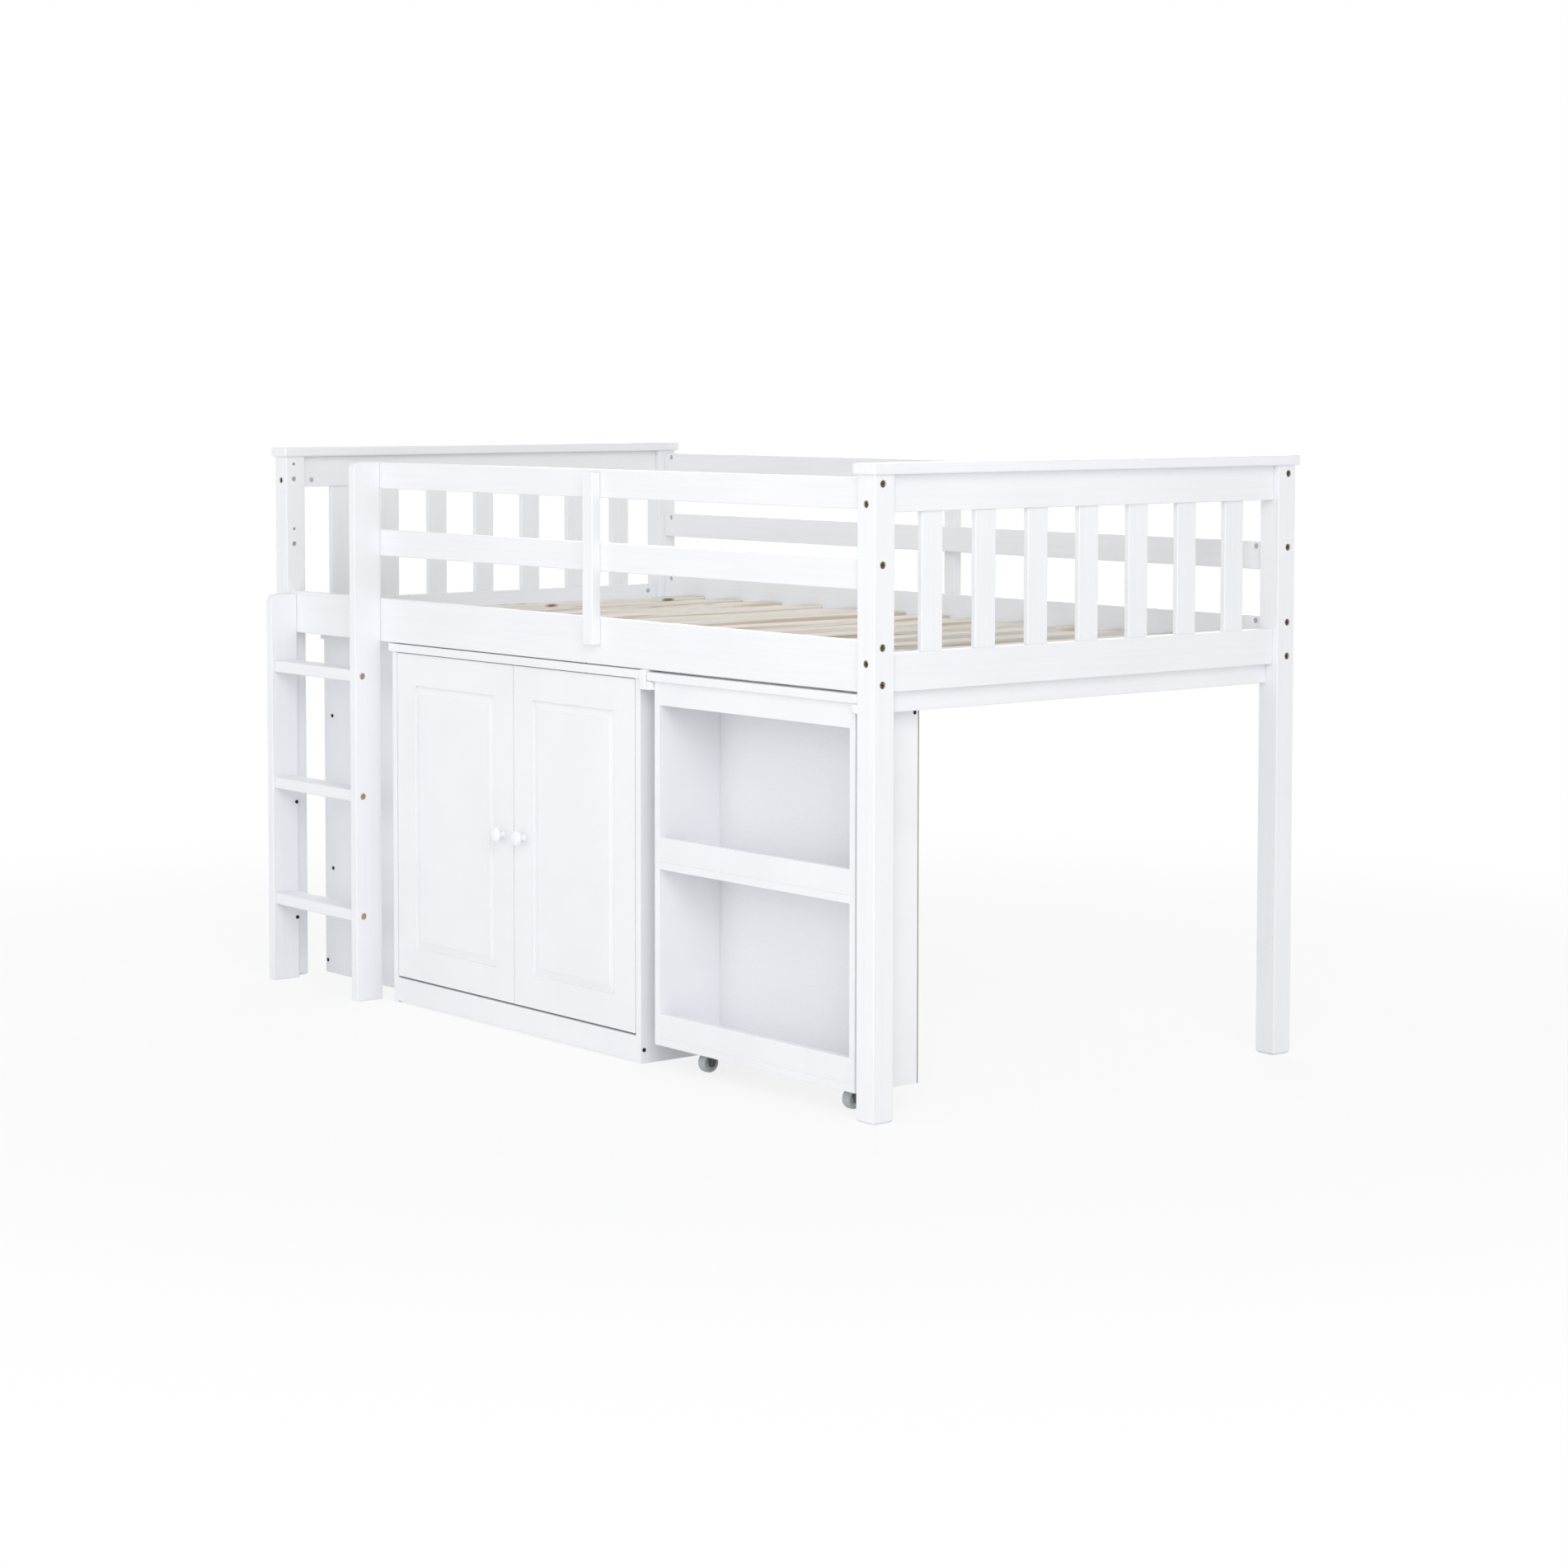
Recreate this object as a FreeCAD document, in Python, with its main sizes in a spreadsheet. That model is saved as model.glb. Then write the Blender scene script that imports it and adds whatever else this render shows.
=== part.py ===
import FreeCAD, Part
import Sketcher
import math
import os

SPINDLE_COUNT = 7
SLAT_COUNT = 13
TREAD_COUNT = 3
LEDGER_SCREW_SHARES = (-0.44, -0.22, 0.0, 0.22, 0.44)
LEDGE_SCREW_SHARES = (0.1, 0.45, 0.8)
CABINET_SCREW_SHARES = (0.2, 0.8)

SIZES = (
    ("bed_length", "2000"),
    ("bed_width", "1087"),
    ("post_side", "47"),
    ("post_height", "1153"),
    ("foot_chamfer", "4"),
    ("cap_thick", "20"),
    ("cap_overhang", "7"),
    ("cap_round", "4"),
    ("board_round", "2"),
    ("panel_round", "1"),
    ("rail_thick", "22"),
    ("rail_setback", "8.4"),
    ("end_frame_height", "386"),
    ("side_rail_height", "91"),
    ("guard_height", "55"),
    ("guard_mid_drop", "204"),
    ("guard_top_drop", "61"),
    ("end_top_height", "67"),
    ("end_bottom_height", "69"),
    ("spindle_width", "50"),
    ("spindle_thick", "12"),
    ("tenon_length", "10"),
    ("tenon_gap", "0.2"),
    ("stile_width", "33"),
    ("stile_thick", "20"),
    ("stile_lift", "39"),
    ("stile_drop", "12"),
    ("front_stile_place", "170.5"),
    ("rear_stile_place", "22"),
    ("ledger_width", "25"),
    ("ledger_height", "22"),
    ("ledger_end_gap", "10"),
    ("deck_lift", "44"),
    ("slat_thick", "15"),
    ("slat_width", "65"),
    ("slat_end_gap", "3"),
    ("slat_head_gap", "88"),
    ("slat_foot_gap", "56"),
    ("ladder_depth", "65"),
    ("ladder_thick", "22"),
    ("ladder_inset", "3"),
    ("ladder_opening", "314"),
    ("left_upright_lift", "85"),
    ("right_upright_drop", "5"),
    ("upright_nose", "14"),
    ("tread_depth", "55"),
    ("tread_thick", "25"),
    ("tread_setback", "5"),
    ("tread_first", "194"),
    ("tread_head_drop", "60"),
    ("tread_bolt_inset", "13"),
    ("tread_round", "4"),
    ("tie_drop", "59"),
    ("runner_height", "38"),
    ("runner_thick", "18"),
    ("ledge_width", "15"),
    ("ledge_height", "16.7"),
    ("ledge_gap", "1"),
    ("end_shelf_length", "399"),
    ("end_shelf_setback", "98.5"),
    ("end_shelf_drop", "21"),
    ("end_panel_thick", "15"),
    ("end_top_overhang", "6"),
    ("end_top_gap", "0.5"),
    ("end_low_rise", "27"),
    ("end_mid_rise", "236"),
    ("end_high_drop", "169"),
    ("end_screw_inset", "33"),
    ("end_foot_inset", "9"),
    ("end_shelf_reach", "7"),
    ("cabinet_runner_gap", "13"),
    ("cabinet_depth", "400"),
    ("cabinet_setback", "12.5"),
    ("cabinet_head_gap", "2"),
    ("cabinet_panel", "16"),
    ("cabinet_top_thick", "17"),
    ("cabinet_overhang", "6.5"),
    ("cabinet_back_thick", "5"),
    ("plinth_height", "53"),
    ("plinth_lift", "3"),
    ("cabinet_shelf_rise", "390"),
    ("cabinet_shelf_setback", "40"),
    ("door_thick", "16"),
    ("door_side_gap", "2.4"),
    ("door_meeting_gap", "2"),
    ("door_split_shift", "10"),
    ("door_foot_gap", "4"),
    ("door_head_gap", "2"),
    ("field_margin", "66"),
    ("field_bevel", "18"),
    ("field_depth", "5"),
    ("field_step", "1.5"),
    ("knob_height", "400"),
    ("knob_inset", "35"),
    ("knob_reach", "28"),
    ("knob_radius", "16"),
    ("knob_crown", "7"),
    ("knob_foot_radius", "9"),
    ("knob_neck_radius", "5"),
    ("knob_stud_radius", "2.5"),
    ("knob_stud_length", "13"),
    ("hinge_inset", "90"),
    ("cup_radius", "17.5"),
    ("cup_edge", "4"),
    ("cup_wall", "1"),
    ("cup_depth", "13"),
    ("cup_rim", "2"),
    ("pivot_inset", "12"),
    ("pivot_depth", "7.5"),
    ("pin_radius", "1.5"),
    ("pin_gap", "0.3"),
    ("eye_radius", "3.3"),
    ("arm_thick", "1.6"),
    ("arm_width", "12"),
    ("arm_reach", "10.3"),
    ("arm_back", "16"),
    ("arm_plate_length", "50"),
    ("arm_plate_height", "40"),
    ("arm_plate_thick", "2"),
    ("desk_length", "880"),
    ("desk_thick", "17"),
    ("desk_front_lip", "9"),
    ("desk_side_lip", "14"),
    ("desk_round", "3"),
    ("glide_gap", "0.3"),
    ("bookcase_width", "582"),
    ("bookcase_depth", "150"),
    ("bookcase_setback", "10.5"),
    ("bookcase_base", "46"),
    ("bookcase_panel", "15"),
    ("bookcase_back_thick", "3"),
    ("header_height", "45"),
    ("bookcase_mid_rise", "386"),
    ("lip_height", "47"),
    ("bookcase_screw_drop", "24"),
    ("caster_spread", "419"),
    ("caster_shift", "11.5"),
    ("caster_setback", "57"),
    ("wheel_radius", "19"),
    ("wheel_width", "20"),
    ("wheel_round", "3"),
    ("hub_radius", "11"),
    ("hub_recess", "2"),
    ("axle_radius", "3"),
    ("fork_thick", "2"),
    ("fork_gap", "1"),
    ("fork_plate", "44"),
    ("fork_leg_width", "16"),
    ("bolt_radius", "3"),
    ("bolt_head_radius", "6.5"),
    ("bolt_head_height", "5"),
    ("bolt_seat_depth", "6"),
    ("bolt_reach", "38"),
    ("bolt_socket_radius", "2.9"),
    ("bolt_socket_depth", "3"),
    ("bolt_drop", "10"),
    ("bolt_rise", "15"),
    ("end_bolt_drop", "17"),
    ("nut_radius", "5"),
    ("nut_length", "18"),
    ("nut_inset", "25"),
    ("nut_recess", "1"),
    ("nut_slot_width", "1.5"),
    ("dowel_radius", "5"),
    ("dowel_half", "15"),
    ("dowel_rise", "12"),
    ("screw_radius", "2"),
    ("screw_head_radius", "4"),
    ("screw_head_height", "2"),
    ("screw_length", "32"),
    ("hole_gap", "0.3"),
    ("bolt_gap", "0.5"),
    ("overrun", "2"),
)

os.makedirs("parts", exist_ok=True)
doc = FreeCAD.newDocument("LoftBed")
sheet = doc.addObject("Spreadsheet::Sheet", "Sizes")
for row, (alias, number) in enumerate(SIZES, start=1):
    sheet.set(f"A{row}", alias)
    sheet.set(f"B{row}", number)
    sheet.setAlias(f"B{row}", alias)
doc.recompute()


class Length:
    """A size that follows the sheet: the expression that binds it and its present value."""

    def __init__(self, text, value):
        self.text = text
        self.value = value

    def join(self, sign, other, value):
        return Length(f"({self.text} {sign} {as_length(other).text})", value)

    def __add__(self, other):
        return self.join("+", other, self.value + as_length(other).value)

    def __sub__(self, other):
        return self.join("-", other, self.value - as_length(other).value)

    def __mul__(self, other):
        return self.join("*", other, self.value * as_length(other).value)

    def __truediv__(self, other):
        return self.join("/", other, self.value / as_length(other).value)

    def __rmul__(self, other):
        return self * other

    def __neg__(self):
        return Length(f"(-1 * {self.text})", -self.value)


def as_length(value):
    if isinstance(value, Length):
        return value
    return Length(f"({value})", float(value))


class Table:
    """Every size of the sheet as an attribute."""

    def __init__(self):
        for alias, _ in SIZES:
            setattr(self, alias, Length(f"Sizes.{alias}", float(sheet.get(alias))))


S = Table()
ZERO = as_length(0)


def bind(obj, **sizes):
    for name, length in sizes.items():
        obj.setExpression(name, as_length(length).text)


def put(obj, at, rotation=FreeCAD.Rotation()):
    obj.Placement = FreeCAD.Placement(FreeCAD.Vector(), rotation)
    for axis, length in zip("xyz", at):
        obj.setExpression(f"Placement.Base.{axis}", as_length(length).text)


def span(one, other):
    return (one, other) if one.value < other.value else (other, one)


def facing(direction):
    return FreeCAD.Rotation(FreeCAD.Vector(0, 0, 1), FreeCAD.Vector(*direction))


def block(name, xs, ys, zs):
    box = doc.addObject("Part::Box", name)
    bind(box, Length=xs[1] - xs[0], Width=ys[1] - ys[0], Height=zs[1] - zs[0])
    put(box, (xs[0], ys[0], zs[0]))
    return box


def eased(solid, radius, edges=range(1, 13)):
    soft = doc.addObject("Part::Fillet", solid.Name + "_eased")
    soft.Base = solid
    soft.Edges = [(edge, radius.value, radius.value) for edge in edges]
    return soft


def board(name, xs, ys, zs, radius=S.board_round):
    return eased(block(name + "_board", xs, ys, zs), radius)


def rod(name, at, direction, radius, length):
    cylinder = doc.addObject("Part::Cylinder", name)
    bind(cylinder, Radius=radius, Height=length)
    put(cylinder, at, facing(direction))
    return cylinder


def joined(name, solids):
    fuse = doc.addObject("Part::MultiFuse", name)
    fuse.Shapes = solids
    return fuse


def less(name, solid, tool):
    cut = doc.addObject("Part::Cut", name)
    cut.Base = solid
    cut.Tool = tool
    return cut


def group(name, solids):
    compound = doc.addObject("Part::Compound", name)
    compound.Links = solids
    return compound


class Piece:
    """One node of the part: its solids and the holes that its fasteners need."""

    def __init__(self, name, solids):
        self.name = name
        self.solids = solids
        self.tools = []
        pieces[name] = self

    def bore(self, at, direction, radius, depth):
        """A round hole that starts at a face and runs the given depth along the direction."""
        start = [as_length(a) - S.overrun * d for a, d in zip(at, direction)]
        name = f"{self.name}_bore_{len(self.tools)}"
        self.tools.append(rod(name, start, direction, radius, depth + S.overrun))

    def pocket(self, xs, ys, zs):
        self.tools.append(block(f"{self.name}_pocket_{len(self.tools)}", xs, ys, zs))

    def finish(self):
        shape = self.solids[0]
        if len(self.solids) > 1:
            shape = group(f"{self.name}_set", self.solids)
        if self.tools:
            shape = less(f"{self.name}_cut", shape, group(f"{self.name}_tools", self.tools))
        shape.Label = self.name
        return shape


pieces = {}
bolt_places = []
ladder_bolt_places = []
nut_places = []
dowel_places = []
screw_places = []
desk_screw_places = []

# Reference planes of the bed: the ladder in front and the rear stile behind set the middle of the depth.
LEFT, RIGHT, FRONT, REAR = "left", "right", "front", "rear"
mid_y = (S.ladder_depth - S.stile_thick) / 2
SIGN = {LEFT: -1, RIGHT: 1, FRONT: -1, REAR: 1}
outer_x = {side: S.bed_length / 2 * SIGN[side] for side in (LEFT, RIGHT)}
inner_x = {side: outer_x[side] - S.post_side * SIGN[side] for side in (LEFT, RIGHT)}
post_mid_x = {side: outer_x[side] - S.post_side / 2 * SIGN[side] for side in (LEFT, RIGHT)}
outer_y = {side: mid_y + S.bed_width / 2 * SIGN[side] for side in (FRONT, REAR)}
inner_y = {side: outer_y[side] - S.post_side * SIGN[side] for side in (FRONT, REAR)}
rail_out = {side: outer_y[side] - S.rail_setback * SIGN[side] for side in (FRONT, REAR)}
rail_in = {side: rail_out[side] - S.rail_thick * SIGN[side] for side in (FRONT, REAR)}
rail_mid = {side: rail_out[side] - S.rail_thick / 2 * SIGN[side] for side in (FRONT, REAR)}

# Heights follow the posts: the rails hang below the post tops, and what is below reaches up to the rails.
rail_base = S.post_height - S.end_frame_height
guard_mid_base = S.post_height - S.guard_mid_drop
guard_top_base = S.post_height - S.guard_top_drop
stile_base = rail_base + S.stile_lift
stile_top = S.post_height - S.stile_drop
deck_height = rail_base + S.deck_lift
left_upright_height = rail_base + S.left_upright_lift
right_upright_height = S.post_height - S.right_upright_drop
tread_pitch = (rail_base - S.tread_head_drop - S.tread_first) / (TREAD_COUNT - 1)
runner_base = rail_base - S.runner_height
end_shelf_height = rail_base - S.end_shelf_drop
end_high_rise = end_shelf_height - S.end_high_drop
cabinet_height = rail_base - S.cabinet_head_gap

bolt_hole = S.bolt_radius + S.bolt_gap
dowel_hole = S.dowel_radius + S.hole_gap
screw_hole = S.screw_radius + S.hole_gap


def along_x(sign):
    return (sign, 0, 0)


def along_y(sign):
    return (0, sign, 0)


def dowel(at, direction, near, far):
    """A dowel centred on a joint face, half in each of two pieces."""
    back = tuple(-d for d in direction)
    depth = S.dowel_half + S.hole_gap
    near.bore(at, back, dowel_hole, depth)
    far.bore(at, direction, dowel_hole, depth)
    start = [as_length(a) - S.dowel_half * d for a, d in zip(at, direction)]
    dowel_places.append((start, facing(direction)))


def screw(at, direction, through, thick, into, places=screw_places, sunk=False):
    """A wood screw whose head sits on the face at the given place, or just below it where it is sunk."""
    if sunk:
        head_seat = S.screw_head_height + S.hole_gap
        through.bore(at, direction, S.screw_head_radius + S.hole_gap, head_seat)
        at = [as_length(a) + head_seat * d for a, d in zip(at, direction)]
        thick = thick - head_seat
    through.bore(at, direction, screw_hole, thick + S.overrun)
    start = [as_length(a) + thick * d for a, d in zip(at, direction)]
    into.bore(start, direction, screw_hole, S.screw_length - thick + S.hole_gap)
    places.append((at, facing(direction)))


def post_holes(post, at, direction):
    """The counterbored hole of one connecting bolt, from a post's outer face."""
    post.bore(at, direction, bolt_hole, S.post_side + S.overrun)
    post.bore(at, direction, S.bolt_head_radius + S.hole_gap, S.bolt_seat_depth)


def bolt_joint(post, rail, at, direction, nut_face, nut_direction):
    """A bolt through a post into a barrel nut that enters the rail from its inner face."""
    post_holes(post, at, direction)
    end = [as_length(a) + S.post_side * d for a, d in zip(at, direction)]
    rail.bore(end, direction, bolt_hole, S.bolt_reach + S.bolt_gap)
    head_seat = [as_length(a) + S.bolt_seat_depth * d for a, d in zip(at, direction)]
    bolt_places.append((head_seat, facing(direction)))
    centre = [a + S.nut_inset * d for a, d in zip(end, direction)]
    mouth = [nut_face if n else c for c, n in zip(centre, nut_direction)]
    rail.bore(mouth, nut_direction, S.nut_radius + S.hole_gap, S.nut_recess + S.nut_length + S.hole_gap)
    seat = [m + S.nut_recess * n for m, n in zip(mouth, nut_direction)]
    zdir = FreeCAD.Vector(*nut_direction)
    xdir = FreeCAD.Vector(*direction)
    nut_places.append((seat, FreeCAD.Rotation(xdir, zdir.cross(xdir), zdir, "ZXY")))


# Posts with chamfered feet.
for fore in (FRONT, REAR):
    for side in (LEFT, RIGHT):
        name = f"{fore}_{side}_post"
        xs = span(outer_x[side], inner_x[side])
        ys = span(outer_y[fore], inner_y[fore])
        leg = eased(block(name + "_leg", xs, ys, (ZERO, S.post_height)), S.board_round, (1, 3, 5, 7))
        foot = doc.addObject("Part::Wedge", name + "_foot")
        low, high = S.foot_chamfer, S.post_side - S.foot_chamfer
        bind(foot, Xmin=low, Zmin=low, Xmax=high, Zmax=high, X2min=ZERO, Z2min=ZERO)
        bind(foot, X2max=S.post_side, Z2max=S.post_side, Ymin=ZERO, Ymax=S.foot_chamfer)
        put(foot, (xs[0], ys[1], ZERO), FreeCAD.Rotation(FreeCAD.Vector(1, 0, 0), 90))
        upper = block(name + "_upper", xs, ys, (S.foot_chamfer, S.post_height))
        outline = joined(name + "_outline", [foot, upper])
        shaped = doc.addObject("Part::Common", name + "_shaped")
        shaped.Base = leg
        shaped.Tool = outline
        Piece(name, [shaped])

# Headboard and footboard: cap, two rails and spindles tenoned into them.
end_top = S.post_height - S.end_top_height
end_low = rail_base + S.end_bottom_height
inner_depth = inner_y[REAR] - inner_y[FRONT]
spindle_gap = (inner_depth - S.spindle_width * SPINDLE_COUNT) / (SPINDLE_COUNT + 1)
for side, label in ((LEFT, "headboard"), (RIGHT, "footboard")):
    out = SIGN[side]
    cap_xs = span(outer_x[side] + S.cap_overhang * out, inner_x[side] - S.cap_overhang * out)
    cap_ys = (outer_y[FRONT] - S.cap_overhang, outer_y[REAR] + S.cap_overhang)
    cap_zs = (S.post_height, S.post_height + S.cap_thick)
    Piece(f"{label}_cap", [board(f"{label}_cap", cap_xs, cap_ys, cap_zs, S.cap_round)])
    xs = (post_mid_x[side] - S.rail_thick / 2, post_mid_x[side] + S.rail_thick / 2)
    ys = (inner_y[FRONT], inner_y[REAR])
    top = Piece(f"{label}_top_rail", [board(f"{label}_top_rail", xs, ys, (end_top, S.post_height))])
    low = Piece(f"{label}_bottom_rail", [board(f"{label}_bottom_rail", xs, ys, (rail_base, end_low))])
    half = S.spindle_thick / 2
    spindle_xs = (post_mid_x[side] - half, post_mid_x[side] + half)
    mortise_xs = (spindle_xs[0] - S.tenon_gap, spindle_xs[1] + S.tenon_gap)
    spindles = []
    for number in range(SPINDLE_COUNT):
        start = inner_y[FRONT] + spindle_gap * (number + 1) + S.spindle_width * number
        spindle_ys = (start, start + S.spindle_width)
        spindle_zs = (end_low - S.tenon_length, end_top + S.tenon_length)
        spindles.append(board(f"{label}_spindle_{number}", spindle_xs, spindle_ys, spindle_zs))
        mortise_ys = (spindle_ys[0] - S.tenon_gap, spindle_ys[1] + S.tenon_gap)
        low.pocket(mortise_xs, mortise_ys, (spindle_zs[0], end_low + S.overrun))
        top.pocket(mortise_xs, mortise_ys, (end_top - S.overrun, spindle_zs[1]))
    Piece(f"{label}_spindles", spindles)
    for fore in (FRONT, REAR):
        post = pieces[f"{fore}_{side}_post"]
        inward = along_y(-SIGN[fore])
        nut_face = post_mid_x[side] - S.rail_thick / 2 * out
        for rail, bolt_z, dowel_z in (
            (top, end_top + S.bolt_rise, S.post_height - S.end_bolt_drop),
            (low, end_low - S.end_bolt_drop, rail_base + S.bolt_rise),
        ):
            seat = (post_mid_x[side], outer_y[fore], bolt_z)
            bolt_joint(post, rail, seat, inward, nut_face, along_x(out))
            dowel((post_mid_x[side], inner_y[fore], dowel_z), inward, post, rail)

# Side rails and guard rails.
upright_left = inner_x[LEFT] + S.ladder_inset
tread_left = upright_left + S.ladder_thick
tread_right = tread_left + S.ladder_opening
upright_right = tread_right + S.ladder_thick
guard_zs = {
    "mid": (guard_mid_base, guard_mid_base + S.guard_height),
    "top": (guard_top_base, guard_top_base + S.guard_height),
}
side_top = rail_base + S.side_rail_height
for fore in (FRONT, REAR):
    ys = span(rail_out[fore], rail_in[fore])
    whole = (inner_x[LEFT], inner_x[RIGHT])
    guard_xs = (tread_right, inner_x[RIGHT]) if fore == FRONT else whole
    rail = Piece(f"{fore}_side_rail", [board(f"{fore}_side_rail", whole, ys, (rail_base, side_top))])
    guards = [board(f"{fore}_guard_{level}", guard_xs, ys, guard_zs[level]) for level in ("mid", "top")]
    guard = Piece(f"{fore}_guard_rails", guards)
    for side in (LEFT, RIGHT):
        post = pieces[f"{fore}_{side}_post"]
        inward = along_x(-SIGN[side])
        outward = along_y(SIGN[fore])
        for bolt_z in (side_top - S.bolt_drop, rail_base + S.bolt_rise):
            seat = (outer_x[side], rail_mid[fore], bolt_z)
            bolt_joint(post, rail, seat, inward, rail_in[fore], outward)
        dowel((inner_x[side], rail_mid[fore], rail_base + S.side_rail_height / 2), inward, post, rail)
        for level in ("mid", "top"):
            seat = (outer_x[side], rail_mid[fore], guard_zs[level][1] - S.bolt_drop)
            plug = (inner_x[side], rail_mid[fore], guard_zs[level][0] + S.dowel_rise)
            if (fore, side) == (FRONT, LEFT):
                post_holes(post, seat, inward)
                post.bore(plug, along_x(SIGN[side]), dowel_hole, S.dowel_half + S.hole_gap)
            else:
                bolt_joint(post, guard, seat, inward, rail_in[fore], outward)
                dowel(plug, inward, post, guard)

# Guard stiles on the rails' outer faces: the front one is screwed from inside, the rear one from outside.
for fore, place in ((FRONT, S.front_stile_place), (REAR, S.rear_stile_place)):
    out = SIGN[fore]
    xs = (place - S.stile_width / 2, place + S.stile_width / 2)
    ys = span(rail_out[fore], rail_out[fore] + S.stile_thick * out)
    name = f"{fore}_guard_stile"
    stile = Piece(name, [board(name, xs, ys, (stile_base, stile_top))])
    heights = [(pieces[f"{fore}_side_rail"], (stile_base + side_top) / 2)]
    heights += [(pieces[f"{fore}_guard_rails"], (zs[0] + zs[1]) / 2) for zs in guard_zs.values()]
    for rail, height in heights:
        if fore == FRONT:
            screw((place, rail_in[fore], height), along_y(out), rail, S.rail_thick, stile)
        else:
            screw((place, ys[1], height), along_y(-out), stile, S.stile_thick, rail, sunk=True)

# Slats on ledgers.
ledger_top = deck_height - S.slat_thick
ledgers = {}
for fore in (FRONT, REAR):
    out = SIGN[fore]
    xs = (inner_x[LEFT] + S.ledger_end_gap, inner_x[RIGHT] - S.ledger_end_gap)
    face = rail_in[fore] - S.ledger_width * out
    name = f"{fore}_ledger"
    ledger = board(name, xs, span(rail_in[fore], face), (ledger_top - S.ledger_height, ledger_top))
    ledgers[fore] = Piece(name, [ledger])
    for share in LEDGER_SCREW_SHARES:
        at = ((xs[1] - xs[0]) * share, face, ledger_top - S.ledger_height / 2)
        screw(at, along_y(out), ledgers[fore], S.ledger_width, pieces[f"{fore}_side_rail"])
slat_ys = (rail_in[FRONT] + S.slat_end_gap, rail_in[REAR] - S.slat_end_gap)
first_slat = inner_x[LEFT] + S.slat_head_gap + S.slat_width / 2
slat_pitch = (inner_x[RIGHT] - S.slat_foot_gap - S.slat_width / 2 - first_slat) / (SLAT_COUNT - 1)
slat_places = [first_slat + slat_pitch * number for number in range(SLAT_COUNT)]
slat_boards = []
for number, place in enumerate(slat_places):
    xs = (place - S.slat_width / 2, place + S.slat_width / 2)
    slat_boards.append(board(f"slat_{number}", xs, slat_ys, (ledger_top, deck_height)))
slats = Piece("mattress_slats", slat_boards)
for place in slat_places:
    for fore in (FRONT, REAR):
        middle = rail_in[fore] - S.ledger_width / 2 * SIGN[fore]
        at = (place + S.slat_width / 4, middle, deck_height)
        screw(at, (0, 0, -1), slats, S.slat_thick, ledgers[fore], sunk=True)


def origin_plane(body, role):
    return next(feature for feature in body.Origin.OriginFeatures if feature.Role == role)


def upright(name, height):
    """A ladder upright: a board with its front top corner rounded, padded across its thickness."""
    body = doc.addObject("PartDesign::Body", name + "_body")
    sketch = body.newObject("Sketcher::SketchObject", name + "_profile")
    sketch.AttachmentSupport = [(origin_plane(body, "YZ_Plane"), "")]
    sketch.MapMode = "FlatFace"
    depth, tall, nose = S.ladder_depth.value, height.value, S.upright_nose.value
    point = FreeCAD.Vector
    sketch.addGeometry(Part.LineSegment(point(0, 0, 0), point(depth, 0, 0)))
    sketch.addGeometry(Part.LineSegment(point(depth, 0, 0), point(depth, tall, 0)))
    sketch.addGeometry(Part.LineSegment(point(depth, tall, 0), point(nose, tall, 0)))
    sketch.addGeometry(Part.LineSegment(point(0, tall - nose, 0), point(0, 0, 0)))
    round_circle = Part.Circle(point(nose, tall - nose, 0), point(0, 0, 1), nose)
    sketch.addGeometry(Part.ArcOfCircle(round_circle, math.pi / 2, math.pi))
    rule = Sketcher.Constraint
    sketch.addConstraint(rule("Coincident", 0, 1, -1, 1))
    sketch.addConstraint(rule("Coincident", 0, 2, 1, 1))
    sketch.addConstraint(rule("Coincident", 1, 2, 2, 1))
    sketch.addConstraint(rule("Coincident", 3, 2, 0, 1))
    sketch.addConstraint(rule("Tangent", 2, 2, 4, 1))
    sketch.addConstraint(rule("Tangent", 4, 2, 3, 1))
    sketch.addConstraint(rule("Horizontal", 0))
    sketch.addConstraint(rule("Vertical", 1))
    sketch.addConstraint(rule("Horizontal", 2))
    sketch.addConstraint(rule("Vertical", 3))
    for label, kind, line, size in (
        ("deep", "DistanceX", 0, S.ladder_depth),
        ("tall", "DistanceY", 1, height),
        ("nose", "Radius", 4, S.upright_nose),
    ):
        if kind == "Radius":
            index = sketch.addConstraint(rule(kind, line, size.value))
        else:
            index = sketch.addConstraint(rule(kind, line, 1, line, 2, size.value))
        sketch.renameConstraint(index, label)
        sketch.setExpression(f"Constraints.{label}", size.text)
    pad = body.newObject("PartDesign::Pad", name + "_pad")
    pad.Profile = sketch
    bind(pad, Length=S.ladder_thick)
    doc.recompute()
    rim = [
        f"Edge{number}"
        for number, edge in enumerate(pad.Shape.Edges, start=1)
        if edge.BoundBox.XLength < S.board_round.value / 2
    ]
    soft = body.newObject("PartDesign::Fillet", name + "_soft")
    soft.Base = (pad, rim)
    bind(soft, Radius=S.board_round)
    body.Tip = soft
    return body


# Ladder: uprights against the rails' front faces, treads bolted and dowelled between them.
ladder_front = rail_out[FRONT] - S.ladder_depth
uprights = {}
for side, place, height in (
    (LEFT, upright_left, left_upright_height),
    (RIGHT, tread_right, right_upright_height),
):
    name = f"ladder_{side}_upright"
    body = upright(name, height)
    put(body, (place, ladder_front, ZERO))
    uprights[side] = Piece(name, [body])
tread_ys = (ladder_front + S.tread_setback, ladder_front + S.tread_setback + S.tread_depth)
tread_tops = [S.tread_first + tread_pitch * number for number in range(TREAD_COUNT)]
tread_boards = []
for number, height in enumerate(tread_tops):
    zs = (height - S.tread_thick, height)
    tread_boards.append(board(f"tread_{number}", (tread_left, tread_right), tread_ys, zs, S.tread_round))
treads = Piece("ladder_treads", tread_boards)
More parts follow.
